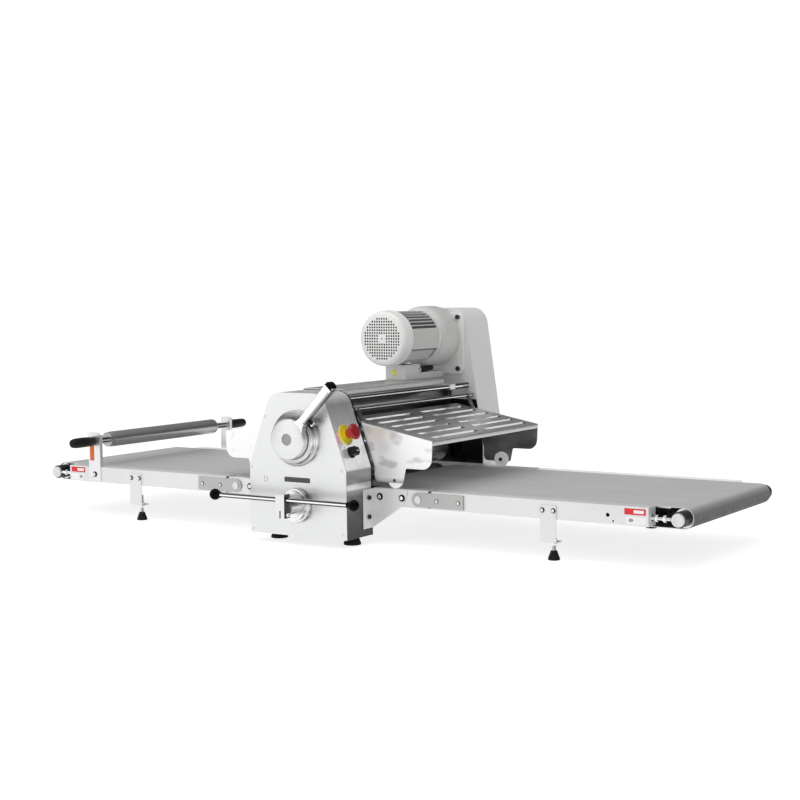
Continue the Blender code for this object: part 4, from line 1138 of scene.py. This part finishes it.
def gusset(corner, half):
    """The stub of rail on the housing, and the bracket under it."""
    wall, thick, low, high = half + GAP, 0.003, 0.044, 0.145
    stub = sweep_x(corner.channel(), *corner.xs(wall + thick, FIXED_END_X))
    add(f"{corner.tag}_stub", stub, "rail_satin", bevel=0.0003,
            cuts=[corner.bore(PIVOT_X, PIVOT_Z, 0.0068, 0.02)],
        replaces=[f"{corner.tag}_gusset"])
    web = rounded([(wall, high, 0.001), (wall, low, 0.001), (wall + 0.004, low, 0.002),
            (0.252, 0.105, 0.008),
                   (0.2645, 0.138, 0.003), (0.262, high, 0.002)], 5)
    foot = block(*corner.xs(wall, wall + thick), *corner.ys(0.0005, 0.046), low - 0.001, high)
    add(f"{corner.tag}_bracket", [slab(mirrored(web, corner.side), *corner.ys(GAP, thick)), foot],
            "rail_satin",
        bevel=0.0006, segments=3)
    places = ((0.18, 0.125), (0.248, 0.125))
    heads = [cap_screw(corner.at(x, 0.004, z), corner.out, 0.0048, 0.003) for x, z in places]
    add(f"{corner.tag}_web_bolts", heads, "bright_bolt")
    rings = [washer(corner.at(x, thick, z), corner.out, 0.0092) for x, z in places]
    add(f"{corner.tag}_bracket_rings", rings, "black_plastic")
    bolts = [cap_screw(corner.at(wall + thick, 0.0235, z), (corner.side, 0, 0), 0.0062, 0.0055)
            for z in (0.123, 0.073)]
    add(f"{corner.tag}_bracket_bolts", bolts, "dark_steel")


def leg(corner):
    half, thick, low, high, screw_z = 0.0218, 0.003, 0.043, 0.135, 0.123
    middle = corner.side * LEG_X
    front = GAP + thick
    near, far = corner.y(front), corner.y(front - thick - 0.03)
    inside = corner.y(front - thick)
    section = rounded([(near, high, 0.0006), (near, low, 0.0045), (far, low, 0.001),
            (far, low + thick, 0.001),
                       (inside, low + thick, 0.0015), (inside, high, 0.0006)], 5)
    add(f"{corner.tag}_leg_bracket", sweep_x(section, middle - half, middle + half), "rail_satin",
            corner.table, 0.0004,
        replaces=[f"{corner.tag}_leg"])
    xs = (middle - 0.015, middle + 0.015)
    rings = [washer((x, corner.y(front), screw_z), corner.out, 0.0066, 0.0008) for x in xs]
    add(f"{corner.tag}_leg_rings", rings, "dark_steel", corner.table)
    screws = [cap_screw((x, corner.y(front + 0.0008), screw_z), corner.out, 0.0038, 0.0034) for x in xs]
    add(f"{corner.tag}_leg_screws", screws, "bright_bolt", corner.table)
    x, y = middle + FOOT_SHIFT, corner.y(-0.0135)
    nut = [(0, 0.0078, 6), (0.0007, 0.0082, 6), (0.005, 0.0082, 6), (0.0058, 0.0078, 6)]
    stud = [turned(threaded(0.058, 0.005), (x, y, 0.0145), UP, 20)]
    stud += [turned(nut, (x, y, z), UP, 24) for z in (low - 0.0062, low + thick)]
    stud.append(washer((x, y, low - 0.0005), (0, 0, -1), 0.0092))
    add(f"{corner.tag}_leg_stud", stud, "bright_bolt", corner.table)
    foot = [(0, 0.0138), (0.001, 0.0147), (0.0045, 0.0147), (0.0062, 0.014), (0.019, 0.0092),
            (0.0225, 0.008)]
    add(f"{corner.tag}_leg_foot", turned(foot + [(0.0232, 0.007)], (x, y, 0), UP, 40), "rubber",
            corner.table, sharp=40)


def labels(side, word, outer):
    """Plain stickers on the front rail's outer end."""
    def stick(name, outline, look, proud=0.0):
        add(f"{word}_{name}", slab(outline, outer - 0.0003 - proud, outer - 0.00005), look, f"{word}_table")

    near, far = span(side, 0.87, 0.925)
    stick("red_label", box_outline(near, far, 0.1275, 0.1425, 0.0015, 4), "label_red")
    stick("label_patch", box_outline(near + 0.024, near + 0.05, 0.1312, 0.1388, 0.001, 3), "label_white",
            0.0001)
    stick("pale_label", box_outline(*span(side, 0.875, 0.925), 0.105, 0.1225, 0.001, 3), "label_white")
    turns = [2 * math.pi * k / 24 for k in range(24)]
    oval = [(side * 0.887 + 0.0065 * math.cos(turn), 0.1145 + 0.0042 * math.sin(turn)) for turn in turns]
    stick("oval_mark", oval, "label_grey", 0.0002)


def belt_loop(side, radius):
    """Right round a table, with short steps at the hinge."""
    xs = [DRIVE_X, 0.12, 0.18, 0.23] + [0.262 + 0.004 * k for k in range(24)] + [0.4, 0.5, 0.6, 0.7, 0.8,
            0.9, 0.96]
    outline = [(x, LOOP_Z + radius) for x in xs] + arc(END_X, LOOP_Z, radius, 90, -90, 26)
    outline += [(x, LOOP_Z - radius) for x in reversed(xs)] + arc(DRIVE_X, LOOP_Z, radius, 270, 90, 26)[1:-1]
    return mirrored(outline, side)


def belts():
    for side, word in SIDES:
        loop = tube_slab(belt_loop(side, LOOP_R), belt_loop(side, LOOP_R - BELT_T), MID_Y - BELT_HALF,
                MID_Y + BELT_HALF)
        obj = add(f"{word}_conveyor_belt", loop, "belt_weave", None,
                  replaces=[f"{word}_belt", f"{word}_inner_belt"], sharp=50)
        second_look(obj, "belt_edge", lambda normal: abs(normal.y) > 0.9)
        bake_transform(obj)


def table_ends():
    reach = HALF_OPEN - 0.009
    cap = [(0, 0.016), (0.0052, 0.016), (0.0064, 0.0155), (0.007, 0.0143), (0.007, 0.01), (0.0066, 0.0095)]
    flat = [(0, 0.0068, 6), (0.0006, 0.0072, 6), (0.0068, 0.0072, 6), (0.0075, 0.0068, 6)]
    ridges = []
    for k in range(7):
        start = k * 0.0044
        ridges += [(start, 0.0168), (start + 0.0004, 0.0192), (start + 0.003, 0.0192),
                (start + 0.0034, 0.0168)]
    for side, word in SIDES:
        body = f"{word}_table"
        along = (side, 0, 0)
        caps, rings, bolts, nuts = [], [], [], []
        for flip in (-1, 1):
            face = MID_Y + flip * reach
            caps.append(turned(cap, (side * END_X, face - flip * 0.007, LOOP_Z), (0, flip, 0), 64))
            rings.append(turned(ridges, (side * END_X, face - flip * 0.0072, LOOP_Z), (0, -flip, 0)))
            bolt_y = MID_Y + flip * (HALF_OPEN - 0.0195)
            bolts.append(turned(threaded(0.076, 0.004), (side * 0.918, bolt_y, LOOP_Z), along, 20))
            nuts += [turned(flat, (side * x, bolt_y, LOOP_Z), along, 24) for x in (0.94, 0.961)]
            nuts.append(washer((side * (RAIL_END_X + 0.0002), bolt_y, LOOP_Z), along, 0.0085))
        axle = rod_y(side * END_X, LOOP_Z, 0.01, MID_Y - reach + 0.002, MID_Y + reach - 0.002)
        add(f"{word}_end_axle", axle, "dark_steel", body, replaces=[f"{word}_end_shaft"])
        add(f"{word}_end_caps", caps, "cap_white", body, sharp=40)
        add(f"{word}_end_bearings", rings, "dark_steel", body, sharp=50)
        add(f"{word}_tension_studs", bolts, "bright_bolt", body)
        add(f"{word}_tension_nuts", nuts, "bright_bolt", body)


# ---- Guards ----

def guard_z(x):
    return GUARD_OUT_Z + GUARD_SLOPE * (GUARD_OUT_X - x)


def housing_edge(z):
    return FRONT_HALF - FRONT_SLOPE * (z - KNEE_Z) + 0.0045


def grille(side, word, body):
    """The sloping sheet with its lip, and two rows of slots with folded rims."""
    thick, lip, inner_z = 0.0015, GUARD_OUT_Z - 0.012, guard_z(GUARD_IN_X)
    sheet = rounded([(GUARD_IN_X, inner_z, 0), (GUARD_OUT_X, GUARD_OUT_Z, 0.003), (GUARD_OUT_X, lip, 0),
                     (GUARD_OUT_X - thick, lip, 0), (GUARD_OUT_X - thick, GUARD_OUT_Z - thick, 0.0015),
                     (GUARD_IN_X, inner_z - thick, 0)], 4)
    cuts, rims = [], []
    half, fold, drop = 0.007, 0.0009, 0.008
    for row in range(6):
        x = 0.103 + row * 0.041
        for flip in (-1, 1):
            y0, y1 = sorted((MID_Y + flip * 0.0205, MID_Y + flip * 0.2535))
            loop = arc(x, y1 - half, half, 0, 180, 8) + arc(x, y0 + half, half, 180, 360, 8)
            cuts.append(prism([(side * a, b, guard_z(x)) for a, b in loop], (0, 0, -0.012), (0, 0, 0.012)))
            corners = ((-half - fold, 0), (-half, 0), (-half, -drop), (-half - fold, -drop))
            rim = [(side * (x + a), guard_z(x + a) - 0.0004 + b) for a, b in corners]
            rims.append(slab(rim, y0 + half, y1 - half))
    add(f"{word}_guard_grille", slab(mirrored(sheet, side), GUARD_FRONT_Y, GUARD_REAR_Y), "guard_steel",
            body, 0.0004, cuts,
        replaces=[f"{word}_guard"])
    add(f"{word}_slot_rims", rims, "slot_edge", body)


def skirt_outline():
    """A skirt from the housing's edge out to the lip, with an ear over the guard's rod."""
    foot_z, step_z, near = 0.162, 0.201, GUARD_ROD_X + 0.026
    corners = [(housing_edge(KNEE_Z), KNEE_Z, 0.004), (housing_edge(KNEE_Z), foot_z, 0.014),
            (0.2475, foot_z, 0.008)]
    corners += [(0.256, step_z, 0.005), (0.333, step_z, 0.028), (GUARD_OUT_X, GUARD_OUT_Z - 0.0005, 0.001)]
    corners += [(near, guard_z(near) - 0.0003, 0), (GUARD_ROD_X + 0.008, GUARD_ROD_Z, 0.002)]
    corners += [(GUARD_ROD_X, GUARD_ROD_Z + 0.008, 0.004), (GUARD_ROD_X - 0.008, GUARD_ROD_Z, 0.002)]
    return rounded(corners + [(housing_edge(0.318), 0.318, 0)], 8)


def guards():
    outline = skirt_outline()
    for side, word in SIDES:
        body = f"{word}_guard"
        grille(side, word, body)
        wheel_x = side * WHEEL_X
        for place, y, inward in (("front", GUARD_FRONT_Y, 1), ("rear", GUARD_REAR_Y, -1)):
            skirt = slab(mirrored(outline, side), *sorted((y - inward * 0.0001, y + inward * SHEET)))
            hole = rod_y(side * GUARD_ROD_X, GUARD_ROD_Z, 0.0053, FRONT_IN, REAR_IN, 24)
            piece = add(f"{word}_{place}_skirt", skirt, "skirt_steel", body, 0.0005, [hole])
            # Painted shade: the skirt's side facing the rolls takes the dark inner skirt look.
            second_look(piece, "inner_skirt", lambda normal: normal.y * inward > 0.9)
            y0, y1 = sorted((y + inward * (SHEET + GAP), y + inward * 0.012))
            rim, width = 0.0012, y1 - y0
            wheel = [(0, WHEEL_R - 0.0015), (rim, WHEEL_R), (width - rim, WHEEL_R),
                    (width, WHEEL_R - 0.0015)]
            bore = rod_y(wheel_x, WHEEL_Z, 0.0036, y0 - CLEAR, y1 + CLEAR, 24)
            # Painted light: the wheels glow a little.
            add(f"{word}_{place}_roller_wheel", turned(wheel, (wheel_x, y0, WHEEL_Z), TO_REAR, 64),
                    "wheel_white",
                f"{word}_{place}_wheel", cuts=[bore], replaces=[f"{word}_{place}_wheel"])
            pin = [dome_screw((wheel_x, y, WHEEL_Z), (0, -inward, 0), 0.0042)]
            pin.append(rod_y(wheel_x, WHEEL_Z, 0.003, *sorted((y + inward * 0.001, y + inward * 0.0125)),
                    24))
            pin.append(cap_screw((wheel_x, y + inward * 0.0125, WHEEL_Z), (0, inward, 0), 0.0052, 0.003))
            add(f"{word}_{place}_wheel_pin", pin, "dark_steel", body)


# ---- Rolling-pin rack ----

def pin_rack():
    half, low, high, thick = 0.023, 0.105, 0.249, 0.0024
    slot_r, slot_z = 0.01, PIN_Z + 0.0007
    right = RACK_X + half
    plate = box_outline(RACK_X - half, right, low, high, 0.002, 6)
    for flip, word in PLACES:
        corner = Corner(-1, "left", flip, word)
        face = corner.y(GAP)
        y0, y1 = sorted((face, face + flip * thick))
        outline = rounded([(RACK_X - half, low, 0.002), (right, low, 0.002), (right, high, 0.008),
                (RACK_X - half, high, 0.008)], 6)
        cutter = [rod_y(PIN_X, slot_z, slot_r, y0 - CLEAR, y1 + CLEAR, 40)]
        cutter.append(block(PIN_X - slot_r, PIN_X + slot_r, y0 - CLEAR, y1 + CLEAR, slot_z, high + CLEAR))
        add(f"{word}_rack_upright", slab(outline, y0, y1), "rack_steel", corner.table, 0.0005, cutter,
            replaces=[f"{word}_upright"])
        flange = block(right - thick, right, *sorted((face + flip * 0.0005, face - flip * 0.009)), 0.148,
                high - 0.008)
        add(f"{word}_rack_return", flange, "rack_steel", corner.table, 0.0005)
        outside = face + flip * thick
        ring = washer((-0.828, outside, 0.125), corner.out, 0.0085)
        add(f"{word}_rack_ring", ring, "dark_steel", corner.table)
        heads = [cap_screw((-0.828, face + flip * (thick + 0.001), 0.125), corner.out, 0.005, 0.004),
                 dome_screw((-0.842, outside, 0.112), corner.out, 0.0036)]
        add(f"{word}_rack_screws", heads, "bright_bolt", corner.table)
        liner = block(PIN_X - 0.0068, PIN_X + 0.0068,
                *sorted((outside + flip * 0.0001, outside + flip * 0.0016)), 0.165, 0.2112)
        add(f"{word}_slot_liner", liner, "orange", corner.table, 0.0004)


def rolling_pin():
    spindle = rod_y(PIN_X, PIN_Z, 0.0088, -0.342, MID_Y + 0.392)
    add("pin_spindle", spindle, "rod_chrome", "pin_shaft", replaces=["pin_shaft"])
    for base, length, flip, word in ((-0.2682, 0.083, -1, "front"), (0.345, 0.102, 1, "rear")):
        profile = [(0, 0.01), (0.001, 0.0122), (0.006, 0.0136), (0.03, 0.0146), (0.055, 0.0146),
                (length - 0.012, 0.0138)]
        profile += [(length - 0.004, 0.0118), (length - 0.0008, 0.008), (length, 0.004)]
        add(f"{word}_pin_grip", turned(profile, (PIN_X, base, PIN_Z), (0, flip, 0)), "grip", "pin_shaft",
            sharp=50)
    profile = [(0, 0.015), (0.0006, 0.0212), (0.012, 0.0214), (0.0122, 0.0226), (0.485, 0.023),
            (0.487, 0.0225)]
    profile += [(0.4992, 0.0148), (0.5, 0.01)]
    add("pin_barrel", turned(profile, (PIN_X, MID_Y - 0.242, PIN_Z), TO_REAR, 64), "pin_steel", "pin_roller",
        replaces=["pin_roller"], sharp=40)


# ---- Camera, floor and light ----

def camera():
    yaw, pitch, roll = 0.5764290, 0.0730760, -0.00988874
    forward = Vector((-math.sin(yaw) * math.cos(pitch), math.cos(yaw) * math.cos(pitch), -math.sin(pitch)))
    level = Vector((math.cos(yaw), math.sin(yaw), 0))
    upright = level.cross(forward)
    right = level * math.cos(roll) + upright * math.sin(roll)
    up = upright * math.cos(roll) - level * math.sin(roll)
    data = bpy.data.cameras.new("camera")
    data.lens = 70.475
    data.sensor_width = 36.0
    data.clip_end = 60.0
    obj = bpy.data.objects.new("camera", data)
    place = Vector((2.423309, -3.618227, 0.670328))
    obj.matrix_world = Matrix(((right.x, up.x, -forward.x, place.x), (right.y, up.y, -forward.y, place.y),
                               (right.z, up.z, -forward.z, place.z), (0, 0, 0, 1)))
    bpy.context.scene.collection.objects.link(obj)
    bpy.context.scene.camera = obj


def floor():
    obj = plain_object("floor", [block(-30, 30, -30, 30, -0.02, 0.0)])
    made = Nodes("floor_white", 0.42, 0.0, 0.8)
    made.tint(made.noise(0.6, 2.0), 0.99, 1.0)
    made.set({"Emission Color": (1.0, 1.0, 1.0, 1.0), "Emission Strength": 0.8})
    obj.data.materials.append(made.material)


def softbox(name, place, aim, width, height, power):
    data = bpy.data.lights.new(name, "AREA")
    data.shape = "RECTANGLE"
    data.size, data.size_y, data.energy = width, height, power
    obj = bpy.data.objects.new(name, data)
    obj.location = place
    obj.rotation_mode = "QUATERNION"
    obj.rotation_quaternion = (Vector(aim) - Vector(place)).to_track_quat("-Z", "Y")
    bpy.context.scene.collection.objects.link(obj)


def world():
    """A white room to the camera; what the steel mirrors is brighter above and on the camera's side."""
    scene = bpy.context.scene
    scene.view_settings.view_transform = "Standard"
    scene.world = bpy.data.worlds.new("studio")
    scene.world.use_nodes = True
    tree = scene.world.node_tree
    sky = new_node(tree, "TexCoord", {}).outputs["Generated"]
    facing = new_node(tree, "VectorMath", {0: sky, 1: (-0.54, -0.84, 0.0)}, operation="DOT_PRODUCT")
    inputs = {"Value": facing.outputs["Value"], "From Min": -0.55, "From Max": 0.85, "To Min": 0.05,
            "To Max": 0.62}
    around = new_node(tree, "MapRange", inputs)
    height = new_node(tree, "SeparateXYZ", {"Vector": sky}).outputs["Z"]
    above = new_node(tree, "MapRange", {"Value": height, "From Max": 0.8, "To Max": 0.42})
    total = new_node(tree, "Math", {0: around.outputs["Result"], 1: above.outputs["Result"]})
    seen = new_node(tree, "LightPath", {}).outputs["Is Camera Ray"]
    mix = new_node(tree, "Mix", {"Factor": seen, "A": total.outputs["Value"], "B": (1.0, 1.0, 1.0, 1)},
            data_type="RGBA")
    plug(tree, tree.nodes["Background"], {"Color": mix.outputs["Result"], "Strength": 1.0})


camera()
world()
floor()
softbox("overhead", (0.3, -0.6, 2.8), (0.1, 0.0, 0.1), 3.2, 1.4, 26.0)
softbox("front", (-1.7, -3.1, 1.2), (0.0, 0.0, 0.2), 2.6, 2.2, 11.0)
front_housing()
rear_housing()
top_cover()
feet()
rolls()
repaint_cad()
gap_lever()
index_ring()
control_bar()
stop_button()
selector()
motor()
terminal_box()
tables()
belts()
table_ends()
guards()
pin_rack()
rolling_pin()
